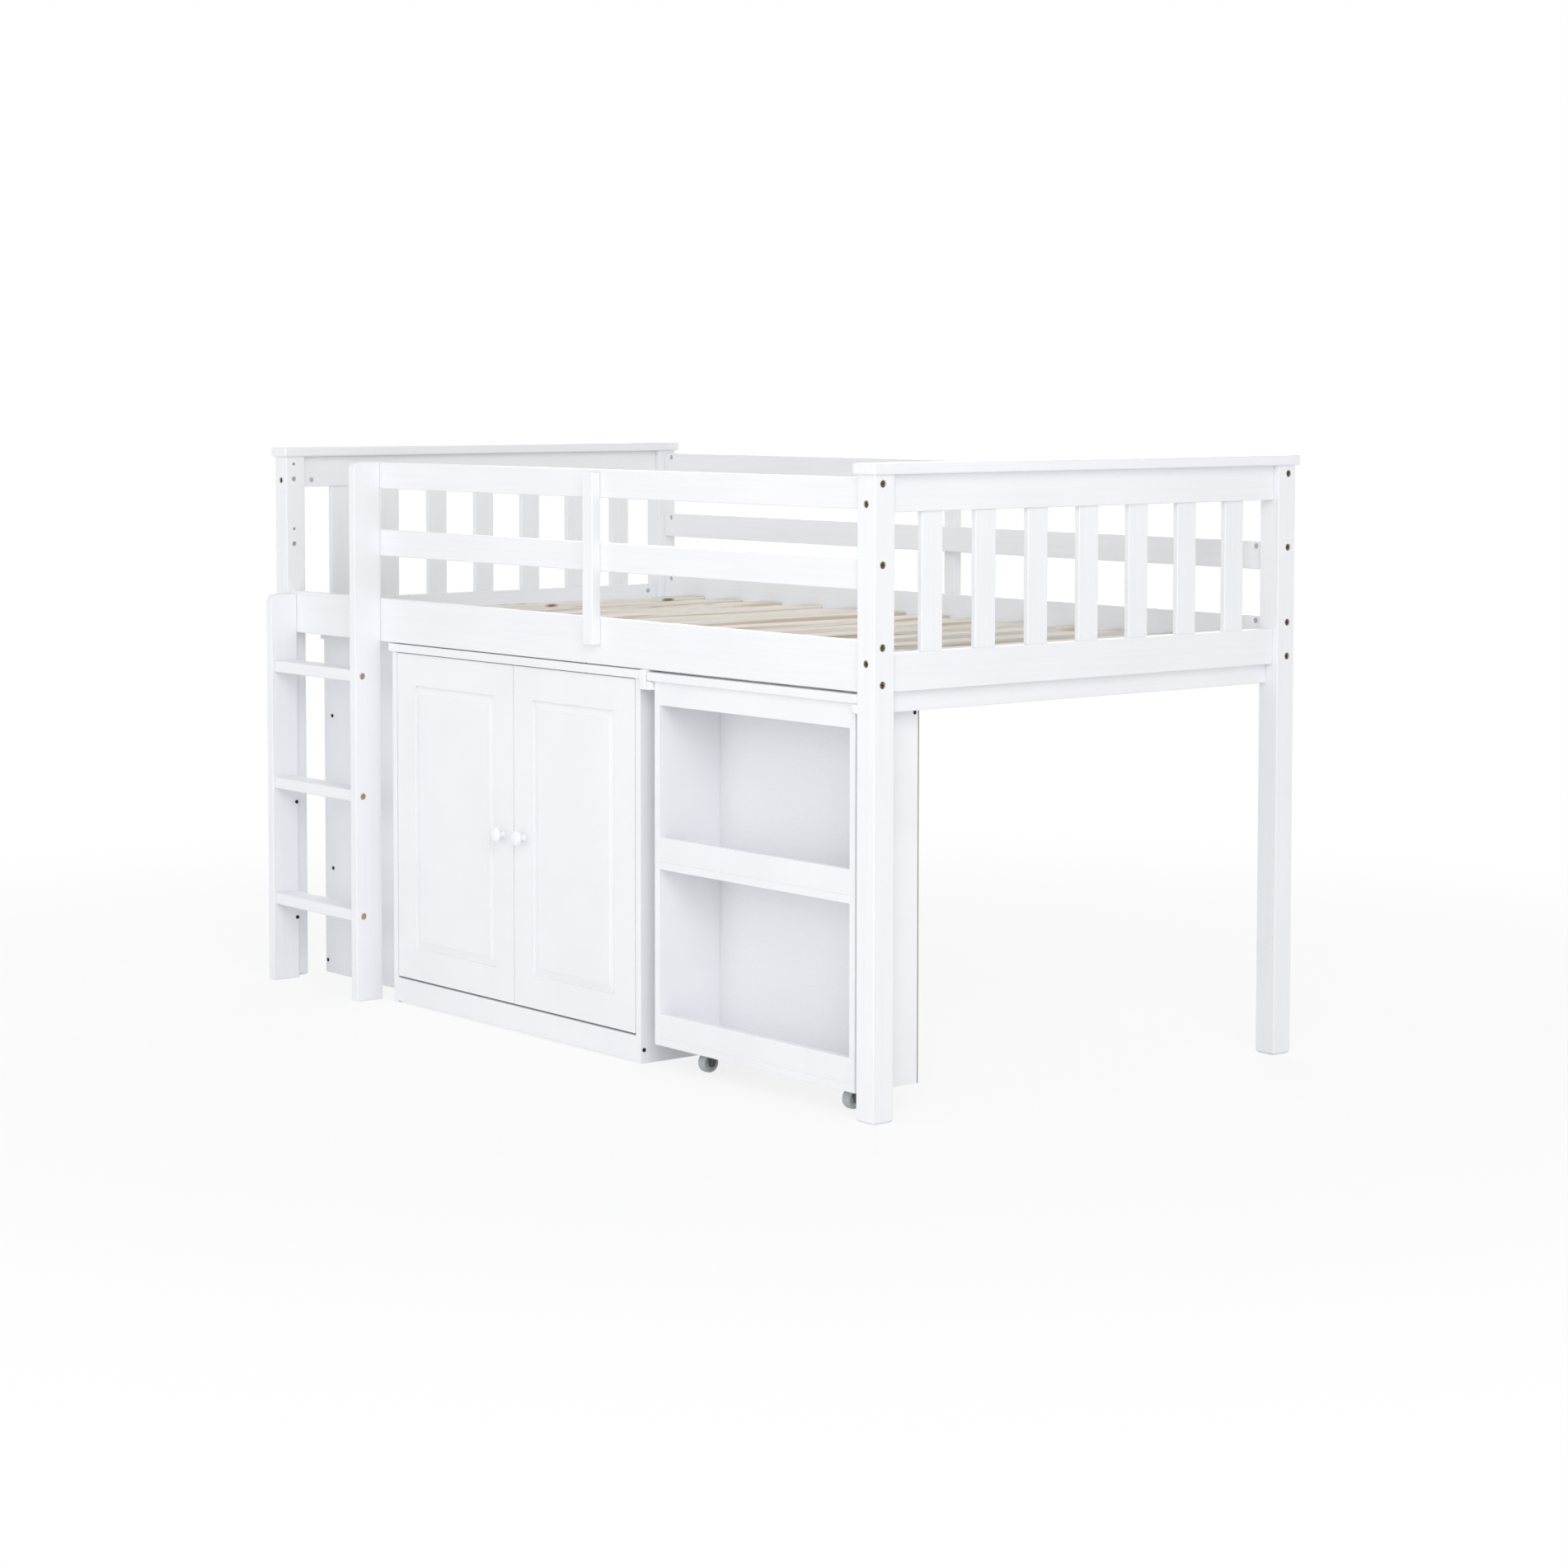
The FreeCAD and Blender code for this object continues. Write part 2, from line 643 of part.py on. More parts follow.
for height in tread_tops:
    middle = height - S.tread_thick / 2
    bolt_y = tread_ys[0] + S.tread_bolt_inset
    dowel_y = tread_ys[1] - S.tread_bolt_inset
    for side, face, out_face in ((LEFT, tread_left, upright_left), (RIGHT, tread_right, upright_right)):
        inward = along_x(-SIGN[side])
        at = (out_face, bolt_y, middle)
        uprights[side].bore(at, inward, bolt_hole, S.ladder_thick + S.overrun)
        uprights[side].bore(at, inward, S.bolt_head_radius + S.hole_gap, S.bolt_seat_depth)
        treads.bore((face, bolt_y, middle), inward, bolt_hole, S.bolt_reach + S.bolt_gap)
        seat = (out_face - S.bolt_seat_depth * SIGN[side], bolt_y, middle)
        ladder_bolt_places.append((seat, facing(inward)))
        dowel((face, dowel_y, middle), inward, uprights[side], treads)
for side, middle in ((LEFT, (upright_left + tread_left) / 2), (RIGHT, (tread_right + upright_right) / 2)):
    above_dowel = (rail_base + S.side_rail_height / 2 + side_top - S.bolt_drop) / 2
    at = (middle, rail_in[FRONT], above_dowel)
    screw(at, along_y(-1), pieces["front_side_rail"], S.rail_thick, uprights[side])
tie_y = (outer_y[FRONT] + rail_out[FRONT]) / 2
for height in tread_tops[:-1]:
    at = (tread_left, tie_y, height - S.tie_drop)
    screw(at, along_x(-1), uprights[LEFT], S.ladder_thick, pieces["front_left_post"])
for zs in guard_zs.values():
    at = ((tread_right + upright_right) / 2, rail_in[FRONT], (zs[0] + zs[1]) / 2)
    screw(at, along_y(-1), pieces["front_guard_rails"], S.rail_thick, uprights[RIGHT])

# Runners under the bed: a board and a ledge at each side of the desk.
book_right = inner_x[RIGHT] - S.ledge_width - S.ledge_gap
book_left = book_right - S.bookcase_width
ledge_left = book_left - S.ledge_gap - S.ledge_width
runner_zs = (runner_base, rail_base)
ledge_top = runner_base + S.ledge_height
left_runner_xs = (ledge_left - S.runner_thick, ledge_left)
right_runner_xs = (inner_x[RIGHT], inner_x[RIGHT] + S.runner_thick)
across = (outer_y[FRONT], outer_y[REAR])
between = (inner_y[FRONT], inner_y[REAR])
runners = Piece("desk_runner_boards", [
    board("left_runner", left_runner_xs, across, runner_zs),
    board("right_runner", right_runner_xs, between, runner_zs),
])
ledge_zs = (runner_base, ledge_top)
ledges = Piece("desk_runner_ledges", [
    board("left_ledge", (ledge_left, ledge_left + S.ledge_width), across, ledge_zs),
    board("right_ledge", (inner_x[RIGHT] - S.ledge_width, inner_x[RIGHT]), across, ledge_zs),
])
runner_mid = (left_runner_xs[0] + left_runner_xs[1]) / 2
for fore in (FRONT, REAR):
    dowel((runner_mid, rail_mid[fore], rail_base), (0, 0, 1), runners, pieces[f"{fore}_side_rail"])
    at = ((right_runner_xs[0] + right_runner_xs[1]) / 2, inner_y[fore], (runner_base + rail_base) / 2)
    dowel(at, along_y(SIGN[fore]), runners, pieces[f"{fore}_right_post"])
for share in LEDGE_SCREW_SHARES:
    place = mid_y + (inner_y[REAR] - mid_y) * share
    height = runner_base + S.ledge_height / 2
    screw((ledge_left + S.ledge_width, place, height), along_x(-1), ledges, S.ledge_width, runners)
    screw((inner_x[RIGHT] - S.ledge_width, place, height), along_x(1), ledges, S.ledge_width, runners)

# Cabinet carcass.
cab_x = (inner_x[LEFT] + S.end_shelf_length, left_runner_xs[0] - S.cabinet_runner_gap)
cab_in = (cab_x[0] + S.cabinet_panel, cab_x[1] - S.cabinet_panel)
cab_front = outer_y[FRONT] + S.cabinet_setback
cab_rear = cab_front + S.cabinet_depth
cab_under = cabinet_height - S.cabinet_top_thick
back_front = cab_rear - S.cabinet_back_thick
soft = S.panel_round
cab_sides = {}
for side, xs in ((LEFT, (cab_x[0], cab_in[0])), (RIGHT, (cab_in[1], cab_x[1]))):
    name = f"cabinet_{side}_side"
    cab_sides[side] = Piece(name, [board(name, xs, (cab_front, cab_rear), (ZERO, cab_under), soft)])
top_xs = (cab_x[0] - S.cabinet_overhang, cab_x[1] + S.cabinet_overhang)
top_ys = (cab_front - S.cabinet_overhang, cab_rear)
top_zs = (cab_under, cabinet_height)
cab_top = Piece("cabinet_top", [board("cabinet_top", top_xs, top_ys, top_zs, S.board_round)])
plinth_ys = (cab_front, cab_front + S.cabinet_panel)
plinth_zs = (S.plinth_lift, S.plinth_height)
plinth = Piece("cabinet_plinth", [board("cabinet_plinth", cab_in, plinth_ys, plinth_zs, soft)])
floor_zs = (S.plinth_height - S.cabinet_panel, S.plinth_height)
floor_ys = (plinth_ys[1], back_front)
floor = Piece("cabinet_bottom", [board("cabinet_bottom", cab_in, floor_ys, floor_zs, soft)])
shelf_zs = (S.cabinet_shelf_rise, S.cabinet_shelf_rise + S.cabinet_panel)
shelf_ys = (cab_front + S.cabinet_shelf_setback, back_front)
shelf = Piece("cabinet_shelf", [board("cabinet_shelf", cab_in, shelf_ys, shelf_zs, soft)])
back_zs = (floor_zs[0], cab_under)
Piece("cabinet_back", [board("cabinet_back", cab_in, (back_front, cab_rear), back_zs, soft)])
for side, face in ((LEFT, cab_x[0]), (RIGHT, cab_x[1])):
    inward = along_x(-SIGN[side])
    at = (face, (plinth_ys[0] + plinth_ys[1]) / 2, S.plinth_height / 2)
    screw(at, inward, cab_sides[side], S.cabinet_panel, plinth)
    for share in CABINET_SCREW_SHARES:
        at = (face, shelf_ys[0] + (shelf_ys[1] - shelf_ys[0]) * share, (shelf_zs[0] + shelf_zs[1]) / 2)
        screw(at, inward, cab_sides[side], S.cabinet_panel, shelf)
        at = (face, at[1], (floor_zs[0] + floor_zs[1]) / 2)
        screw(at, inward, cab_sides[side], S.cabinet_panel, floor)
gap_thick = rail_base - cab_under
for share in CABINET_SCREW_SHARES:
    at = (cab_in[0] + (cab_in[1] - cab_in[0]) * share, rail_mid[FRONT], cab_under)
    screw(at, (0, 0, 1), cab_top, gap_thick, pieces["front_side_rail"])

# Doors with a raised field, knobs and concealed cup hinges.
split = (cab_x[0] + cab_x[1]) / 2 + S.door_split_shift
door_zs = (S.plinth_height + S.door_foot_gap, cab_under - S.door_head_gap)
door_ys = (cab_front, cab_front + S.door_thick)
pivot_y = cab_front + S.pivot_depth
hinge_heights = (door_zs[0] + S.hinge_inset, door_zs[1] - S.hinge_inset)
arms = []
for side in (LEFT, RIGHT):
    out = SIGN[side]
    edge = (cab_in[0] if side == LEFT else cab_in[1]) - S.door_side_gap * out
    meet = split + S.door_meeting_gap / 2 * out
    name = f"{side}_door"
    xs = span(edge, meet)
    slab = board(name, xs, door_ys, door_zs, soft)
    field_xs = (xs[0] + S.field_margin, xs[1] - S.field_margin)
    field_zs = (door_zs[0] + S.field_margin, door_zs[1] - S.field_margin)
    sunk = block(f"{name}_sunk", field_xs, (cab_front - S.overrun, cab_front + S.field_depth), field_zs)
    raised = doc.addObject("Part::Wedge", f"{name}_raised")
    wide, tall = field_xs[1] - field_xs[0], field_zs[1] - field_zs[0]
    rise = S.field_depth - S.field_step
    bind(raised, Ymin=ZERO, Ymax=rise, X2min=ZERO, Z2min=ZERO, X2max=wide, Z2max=tall)
    bind(raised, Xmin=S.field_bevel, Zmin=S.field_bevel)
    bind(raised, Xmax=wide - S.field_bevel, Zmax=tall - S.field_bevel)
    put(raised, (field_xs[0], cab_front + S.field_step, field_zs[0]))
    inner_xs = (field_xs[0] + S.field_bevel, field_xs[1] - S.field_bevel)
    inner_zs = (field_zs[0] + S.field_bevel, field_zs[1] - S.field_bevel)
    proud_ys = (cab_front - S.overrun * 2, cab_front + S.field_step)
    proud = block(f"{name}_proud", inner_xs, proud_ys, inner_zs)
    groove = less(f"{name}_groove", sunk, joined(f"{name}_field", [raised, proud]))
    door = Piece(name, [less(f"{name}_routed", slab, groove)])

    knob_x = meet + S.knob_inset * out
    knob_at = (knob_x, cab_front, S.knob_height)
    forward = along_y(-1)
    neck = doc.addObject("Part::Cone", f"{name}_neck")
    cap_reach = S.knob_reach - S.knob_crown
    bind(neck, Radius1=S.knob_foot_radius, Radius2=S.knob_neck_radius, Height=cap_reach)
    put(neck, knob_at, facing(forward))
    crown = doc.addObject("Part::Ellipsoid", f"{name}_crown")
    bind(crown, Radius1=S.knob_crown, Radius2=S.knob_radius, Radius3=S.knob_radius)
    put(crown, (knob_x, cab_front - cap_reach, S.knob_height), facing(forward))
    stud_at = (knob_x, cab_front + S.knob_stud_length, S.knob_height)
    stud = rod(f"{name}_stud", stud_at, forward, S.knob_stud_radius, S.knob_stud_length + cap_reach)
    Piece(f"{name}_knob", [joined(f"{name}_knob_solid", [neck, crown, stud])])
    door.bore(knob_at, along_y(1), S.knob_stud_radius + S.hole_gap, S.knob_stud_length + S.hole_gap)

    pivot_x = edge - S.pivot_inset * out
    cup_x = edge - (S.cup_edge + S.cup_radius) * out
    rear_face = door_ys[1]
    side_face = cab_in[0] if side == LEFT else cab_in[1]
    cups = []
    for number, height in enumerate(hinge_heights):
        tag = f"{side}_hinge_{number}"
        at = (cup_x, rear_face, height)
        door.bore(at, forward, S.cup_radius + S.hole_gap, S.cup_depth + S.hole_gap)
        shell = rod(f"{tag}_shell", at, forward, S.cup_radius, S.cup_depth)
        rim_radius = S.cup_radius + S.cup_rim
        rim = rod(f"{tag}_rim", at, along_y(1), rim_radius, S.cup_wall)
        hollow_at = (cup_x, rear_face + S.cup_wall + S.overrun, height)
        hollow_depth = S.cup_depth + S.overrun
        hollow = rod(f"{tag}_hollow", hollow_at, forward, S.cup_radius - S.cup_wall, hollow_depth)
        cup = less(f"{tag}_cup", joined(f"{tag}_body", [shell, rim]), hollow)
        pin_at = (pivot_x, pivot_y, height - S.cup_radius)
        pin_bar = rod(f"{tag}_pin_bar", pin_at, (0, 0, 1), S.pin_radius, S.cup_radius * 2)
        inside = rod(f"{tag}_inside", at, forward, S.cup_radius, S.cup_depth)
        pin = doc.addObject("Part::Common", f"{tag}_pin")
        pin.Base = pin_bar
        pin.Tool = inside
        cups.append(joined(f"{tag}_cup_and_pin", [cup, pin]))

        half = S.arm_thick / 2
        wide = (height - S.arm_width / 2, height + S.arm_width / 2)
        reach_x = pivot_x - S.arm_reach * out
        back_y = pivot_y + S.arm_back
        near = span(pivot_x, reach_x - half * out)
        strap = block(f"{tag}_strap", near, (pivot_y - half, pivot_y + half), wide)
        turn = block(f"{tag}_turn", (reach_x - half, reach_x + half), (pivot_y - half, back_y + half), wide)
        run_xs = span(reach_x - half * out, side_face)
        run = block(f"{tag}_run", run_xs, (back_y - half, back_y + half), wide)
        plate_xs = span(side_face, side_face - S.arm_plate_thick * out)
        plate_zs = (height - S.arm_plate_height / 2, height + S.arm_plate_height / 2)
        plate_ys = (back_y - half, back_y + S.arm_plate_length)
        plate = block(f"{tag}_plate", plate_xs, plate_ys, plate_zs)
        eye = rod(f"{tag}_eye", (pivot_x, pivot_y, wide[0]), (0, 0, 1), S.eye_radius, S.arm_width)
        eye_hole_at = (pivot_x, pivot_y, wide[0] - S.overrun)
        eye_hole_length = S.arm_width + S.overrun * 2
        eye_hole = rod(f"{tag}_eye_hole", eye_hole_at, (0, 0, 1), S.pin_radius + S.pin_gap, eye_hole_length)
        arm = joined(f"{tag}_arm_solid", [strap, turn, run, plate, eye])
        arms.append(less(f"{tag}_arm", arm, eye_hole))
    Piece(f"{side}_hinge_cups", cups)
Piece("hinge_arms", arms)

# End shelf behind the ladder, open towards the headboard.
end_x = (inner_x[LEFT] - S.end_shelf_reach, cab_x[0])
end_front = outer_y[FRONT] + S.end_shelf_setback
end_zs = (ZERO, end_shelf_height)
face_ys = (end_front, end_front + S.end_panel_thick)
far_ys = (cab_rear - S.end_panel_thick, cab_rear)
face = Piece("end_shelf_front_panel", [board("end_shelf_front_panel", end_x, face_ys, end_zs, soft)])
far = Piece("end_shelf_rear_panel", [board("end_shelf_rear_panel", end_x, far_ys, end_zs, soft)])
end_rises = (S.end_low_rise, S.end_mid_rise, end_high_rise)
end_boards = []
for number, rise in enumerate(end_rises):
    zs = (rise - S.end_panel_thick / 2, rise + S.end_panel_thick / 2)
    end_boards.append(board(f"end_board_{number}", end_x, (face_ys[1], far_ys[0]), zs, soft))
boards = Piece("end_shelf_boards", end_boards)
for number, rise in enumerate(end_rises):
    place = end_x[0] + (S.end_screw_inset if number else S.end_foot_inset)
    screw((place, end_front, rise), along_y(1), face, S.end_panel_thick, boards)
    screw((place, cab_rear, rise), along_y(-1), far, S.end_panel_thick, boards)
end_top_xs = (end_x[0] - S.end_top_overhang, top_xs[0] - S.end_top_gap)
end_top_ys = (end_front - S.end_top_overhang, cab_rear)
end_top_zs = (end_shelf_height, end_shelf_height + S.end_panel_thick)
Piece("end_shelf_top", [board("end_shelf_top", end_top_xs, end_top_ys, end_top_zs, S.board_round)])

# Pull-out desk: a top that rides on the ledges, with a bookcase on casters under its front.
book_front = outer_y[FRONT] + S.bookcase_setback
book_rear = book_front + S.bookcase_depth
desk_under = ledge_top + S.glide_gap
desk_xs = (book_left - S.desk_side_lip, book_right + S.desk_side_lip)
desk_ys = (book_front - S.desk_front_lip, book_front - S.desk_front_lip + S.desk_length)
desk_zs = (desk_under, desk_under + S.desk_thick)
Piece("desk_top", [board("desk_top", desk_xs, desk_ys, desk_zs, S.desk_round)])
book_in = (book_left + S.bookcase_panel, book_right - S.bookcase_panel)
book_zs = (S.bookcase_base, desk_under)
book_sides = {}
for side, xs in ((LEFT, (book_left, book_in[0])), (RIGHT, (book_in[1], book_right))):
    name = f"bookcase_{side}_side"
    book_sides[side] = Piece(name, [board(name, xs, (book_front, book_rear), book_zs, soft)])
lip_ys = (book_front, book_front + S.bookcase_panel)
stretcher_ys = (book_rear - S.bookcase_panel, book_rear)
header_zs = (desk_under - S.header_height, desk_under)
rails = Piece("bookcase_rails", [
    board("bookcase_header", book_in, lip_ys, header_zs, soft),
    board("bookcase_stretcher", book_in, stretcher_ys, header_zs, soft),
])
shelf_bases = (S.bookcase_base, S.bookcase_mid_rise)
shelf_boards, lips = [], []
for number, base in enumerate(shelf_bases):
    level = base + S.bookcase_panel
    shelf_boards.append(board(f"book_shelf_{number}", book_in, (book_front, book_rear), (base, level), soft))
    lips.append(board(f"book_lip_{number}", book_in, lip_ys, (level, level + S.lip_height), soft))
Piece("bookcase_shelves", shelf_boards)
Piece("bookcase_lips", lips)
back_ys = (book_rear, book_rear + S.bookcase_back_thick)
Piece("bookcase_back", [board("bookcase_back", (book_left, book_right), back_ys, book_zs, soft)])
for side, face_x in ((LEFT, book_left), (RIGHT, book_right)):
    at = (face_x, (stretcher_ys[0] + stretcher_ys[1]) / 2, desk_under - S.bookcase_screw_drop)
    inward = along_x(-SIGN[side])
    screw(at, inward, book_sides[side], S.bookcase_panel, rails, desk_screw_places, sunk=True)

# Casters: a fork with its axle under the bookcase, a wheel on the axle.
book_mid = (book_left + book_right) / 2
caster_y = book_front + S.caster_setback
forks = []
for side in (LEFT, RIGHT):
    tag = f"{side}_caster"
    caster_x = book_mid + S.caster_shift + S.caster_spread / 2 * SIGN[side]
    half = S.fork_plate / 2
    cheek = S.wheel_width / 2 + S.fork_gap
    plate_zs = (S.bookcase_base - S.fork_thick, S.bookcase_base)
    plate_xs = (caster_x - half, caster_x + half)
    plate_ys = (caster_y - half, caster_y + half)
    solids = [block(f"{tag}_plate", plate_xs, plate_ys, plate_zs)]
    leg_ys = (caster_y - S.fork_leg_width / 2, caster_y + S.fork_leg_width / 2)
    leg_zs = (S.wheel_radius, plate_zs[0])
    for hand in (-1, 1):
        leg_xs = span(caster_x + cheek * hand, caster_x + (cheek + S.fork_thick) * hand)
        solids.append(block(f"{tag}_leg_{hand + 1}", leg_xs, leg_ys, leg_zs))
        eye_at = (leg_xs[0], caster_y, S.wheel_radius)
        solids.append(rod(f"{tag}_eye_{hand + 1}", eye_at, along_x(1), S.fork_leg_width / 2, S.fork_thick))
    axle_at = (caster_x - cheek - S.fork_thick, caster_y, S.wheel_radius)
    solids.append(rod(f"{tag}_axle", axle_at, along_x(1), S.axle_radius, (cheek + S.fork_thick) * 2))
    forks.append(joined(f"{tag}_fork", solids))
    tread_at = (caster_x - S.wheel_width / 2, caster_y, S.wheel_radius)
    disc = rod(f"{tag}_tyre", tread_at, along_x(1), S.wheel_radius, S.wheel_width)
    wheel = Piece(f"{side}_caster_wheel", [eased(disc, S.wheel_round, (1, 3))])
    wheel.bore(tread_at, along_x(1), S.axle_radius + S.hole_gap, S.wheel_width + S.overrun)
    wheel.bore(tread_at, along_x(1), S.hub_radius, S.hub_recess)
    far_at = (caster_x + S.wheel_width / 2, caster_y, S.wheel_radius)
    wheel.bore(far_at, along_x(-1), S.hub_radius, S.hub_recess)
Piece("caster_forks", forks)


def bolt_master(name, length):
    """A socket head bolt along Z, its head below the seat at zero."""
    head_at = (ZERO, ZERO, -S.bolt_head_height)
    head = rod(f"{name}_head", head_at, (0, 0, 1), S.bolt_head_radius, S.bolt_head_height)
    shank = rod(f"{name}_shank", (ZERO, ZERO, ZERO), (0, 0, 1), S.bolt_radius, length)
    socket = doc.addObject("Part::Prism", f"{name}_socket")
    socket.Polygon = 6
    bind(socket, Circumradius=S.bolt_socket_radius, Height=S.bolt_socket_depth + S.overrun)
    put(socket, (ZERO, ZERO, -(S.bolt_head_height + S.overrun)))
    return less(f"{name}_master", joined(f"{name}_blank", [eased(head, S.panel_round, (3,)), shank]), socket)


def nut_master():
    """A barrel nut along Z with its cross hole along X and a driver slot in its outer end."""
    barrel = rod("nut_barrel", (ZERO, ZERO, ZERO), (0, 0, 1), S.nut_radius, S.nut_length)
    hole_at = (-(S.nut_radius + S.overrun), ZERO, S.rail_thick / 2 - S.nut_recess)
    hole = rod("nut_hole", hole_at, (1, 0, 0), S.bolt_radius + S.hole_gap, (S.nut_radius + S.overrun) * 2)
    slot_half = S.nut_slot_width / 2
    slot_xs = (-(S.nut_radius + S.overrun), S.nut_radius + S.overrun)
    slot = block("nut_slot", slot_xs, (-slot_half, slot_half), (-S.overrun, S.nut_slot_width))
    return less("nut_master", barrel, group("nut_tools", [hole, slot]))


def screw_master():
    head_at = (ZERO, ZERO, -S.screw_head_height)
    head = rod("screw_head", head_at, (0, 0, 1), S.screw_head_radius, S.screw_head_height)
    shank = rod("screw_shank", (ZERO, ZERO, ZERO), (0, 0, 1), S.screw_radius, S.screw_length)
    return joined("screw_master", [eased(head, S.panel_round, (3,)), shank])


masters = (
    ("frame_bolts", bolt_master("frame_bolt", S.post_side - S.bolt_seat_depth + S.bolt_reach), bolt_places),
    ("ladder_bolts", bolt_master("ladder_bolt", S.ladder_thick - S.bolt_seat_depth + S.bolt_reach),
     ladder_bolt_places),
    ("barrel_nuts", nut_master(), nut_places),
    ("joint_dowels", rod("dowel_master", (ZERO, ZERO, ZERO), (0, 0, 1), S.dowel_radius, S.dowel_half * 2),
     dowel_places),
    ("wood_screws", screw_master(), screw_places),
    ("bookcase_screws", doc.getObject("screw_master"), desk_screw_places),
)
nodes = [piece.finish() for piece in pieces.values()]
doc.recompute()
for name, master, places in masters:
    copies = []
    for at, rotation in places:
        solid = master.Shape.copy()
        spot = FreeCAD.Vector(*(as_length(a).value for a in at))
        solid.Placement = FreeCAD.Placement(spot, rotation)
        copies.append(solid)
    feature = doc.addObject("Part::Feature", f"{name}_set")
    feature.Shape = Part.makeCompound(copies)
    feature.Label = name
    nodes.append(feature)

for obj in doc.Objects:
    if "Invalid" in obj.State or "Error" in obj.State:
        raise RuntimeError(f"{obj.Name} failed to recompute: {obj.State}")
for node in nodes:
    if node.Shape.isNull() or not node.Shape.isValid():
        raise RuntimeError(f"{node.Label} has no valid shape")
for node in nodes:
    node.Shape.exportStep(f"parts/{node.Label}.step")
print(len(nodes), "sub-parts written")
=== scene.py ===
"""Looks of a low white loft bed: lacquered frame, painted furniture, raw pine slats and plated fasteners."""

from __future__ import annotations

import logging
import math
from dataclasses import dataclass
from enum import Enum
from typing import Sequence

import bmesh
import bpy
from bpy.types import ID, Material, Mesh, Node, NodeSocket, NodeTree, Object, World
from mathutils import Matrix, Vector


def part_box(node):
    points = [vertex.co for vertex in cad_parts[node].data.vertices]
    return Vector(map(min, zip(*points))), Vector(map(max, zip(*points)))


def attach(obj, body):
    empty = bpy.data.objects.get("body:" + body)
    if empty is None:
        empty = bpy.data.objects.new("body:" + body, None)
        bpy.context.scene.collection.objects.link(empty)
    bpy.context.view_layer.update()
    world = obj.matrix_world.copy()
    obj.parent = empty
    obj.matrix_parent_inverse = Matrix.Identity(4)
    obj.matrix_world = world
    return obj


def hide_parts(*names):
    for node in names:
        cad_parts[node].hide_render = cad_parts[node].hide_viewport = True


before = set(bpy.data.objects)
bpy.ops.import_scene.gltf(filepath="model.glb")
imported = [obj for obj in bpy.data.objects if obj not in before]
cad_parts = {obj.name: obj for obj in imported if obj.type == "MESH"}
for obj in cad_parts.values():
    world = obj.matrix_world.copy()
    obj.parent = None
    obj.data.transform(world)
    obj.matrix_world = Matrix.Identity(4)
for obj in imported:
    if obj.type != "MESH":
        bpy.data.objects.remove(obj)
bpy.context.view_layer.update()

LOG = logging.getLogger("loft_bed")
MM = 0.001
# On a turned piece, points closer than the first are one, and an arris sharper than the second stays crisp.
MERGE_MM = 0.001
CRISP_ANGLE = math.radians(38)
# The cross recess of a screw: half the angle of an arm, and the reach between two arms.
ARM_HALF_ANGLE = math.radians(17)
WAIST_SHARE = 0.36
# Each slat shifts the pattern of its wood by its own amount, from zero to the most along each axis.
SHIFT_NAME = "board_shift"
MOST_SHIFT = 9.0
# The socket that each type of value goes into.
SOCKETS = {
    int: "NodeSocketInt", float: "NodeSocketFloat", tuple: "NodeSocketVector",
    Material: "NodeSocketMaterial", Object: "NodeSocketObject"}


def linear(code: str) -> tuple[float, float, float, float]:
    """Turns an sRGB hex colour into linear light.

    Args:
        code: The colour as "#RRGGBB".

    Returns:
        Red, green, blue and a full alpha.
    """
    shares = [int(code[i : i + 2], 16) / 255 for i in (1, 3, 5)]
    light = [s / 12.92 if s <= 0.04045 else ((s + 0.055) / 1.055) ** 2.4 for s in shares]
    return light[0], light[1], light[2], 1.0


def per_metre(size_mm: float) -> float:
    """Gives the scale of a pattern from the real size of one repeat."""
    return 1 / (size_mm * MM)


def add(tree: NodeTree, kind: str, inputs: dict | None = None, **settings: object) -> Node:
    """Adds one node with its settings, values and links.

    Args:
        tree: The node tree that gets the node.
        kind: The node's type name.
        inputs: Values, outputs, or nodes for their first outputs, by the input's name or number. Only
            sockets that the settings leave active count.
        settings: The node's own options.

    Returns:
        The new node.
    """
    node = tree.nodes.new(kind)
    for key, value in settings.items():
        setattr(node, key, value)
    active = [socket for socket in node.inputs if socket.enabled]
    for key, value in (inputs or {}).items():
        socket = active[key] if isinstance(key, int) else next(s for s in active if s.name == key)
        given = next(s for s in value.outputs if s.enabled) if isinstance(value, Node) else value
        if isinstance(given, NodeSocket):
            tree.links.new(given, socket)
        else:
            socket.default_value = given
    return node


def fresh_tree(owner: Material | World) -> NodeTree:
    """Starts the node tree of a material or a world.

    Args:
        owner: What the tree belongs to.

    Returns:
        The tree, empty.
    """
    owner.use_nodes = True
    owner.node_tree.nodes.clear()
    return owner.node_tree


def placed(name: str, data: ID) -> Object:
    """Adds an object to the scene.

    Args:
        name: The object's name.
        data: Its mesh, lamp or camera.

    Returns:
        The object, at the origin.
    """
    made = bpy.data.objects.new(name, data)
    bpy.context.scene.collection.objects.link(made)
    return made


def stand_in(piece: Object, body: str, node: str) -> None:
    """Sets a finished piece in place of a CAD node.

    Args:
        piece: The piece with its material.
        body: The body that it rides on.
        node: The CAD node that it replaces.
    """
    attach(piece, body)
    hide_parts(node)
    LOG.info("%s: %d faces", piece.name, len(piece.data.polygons))


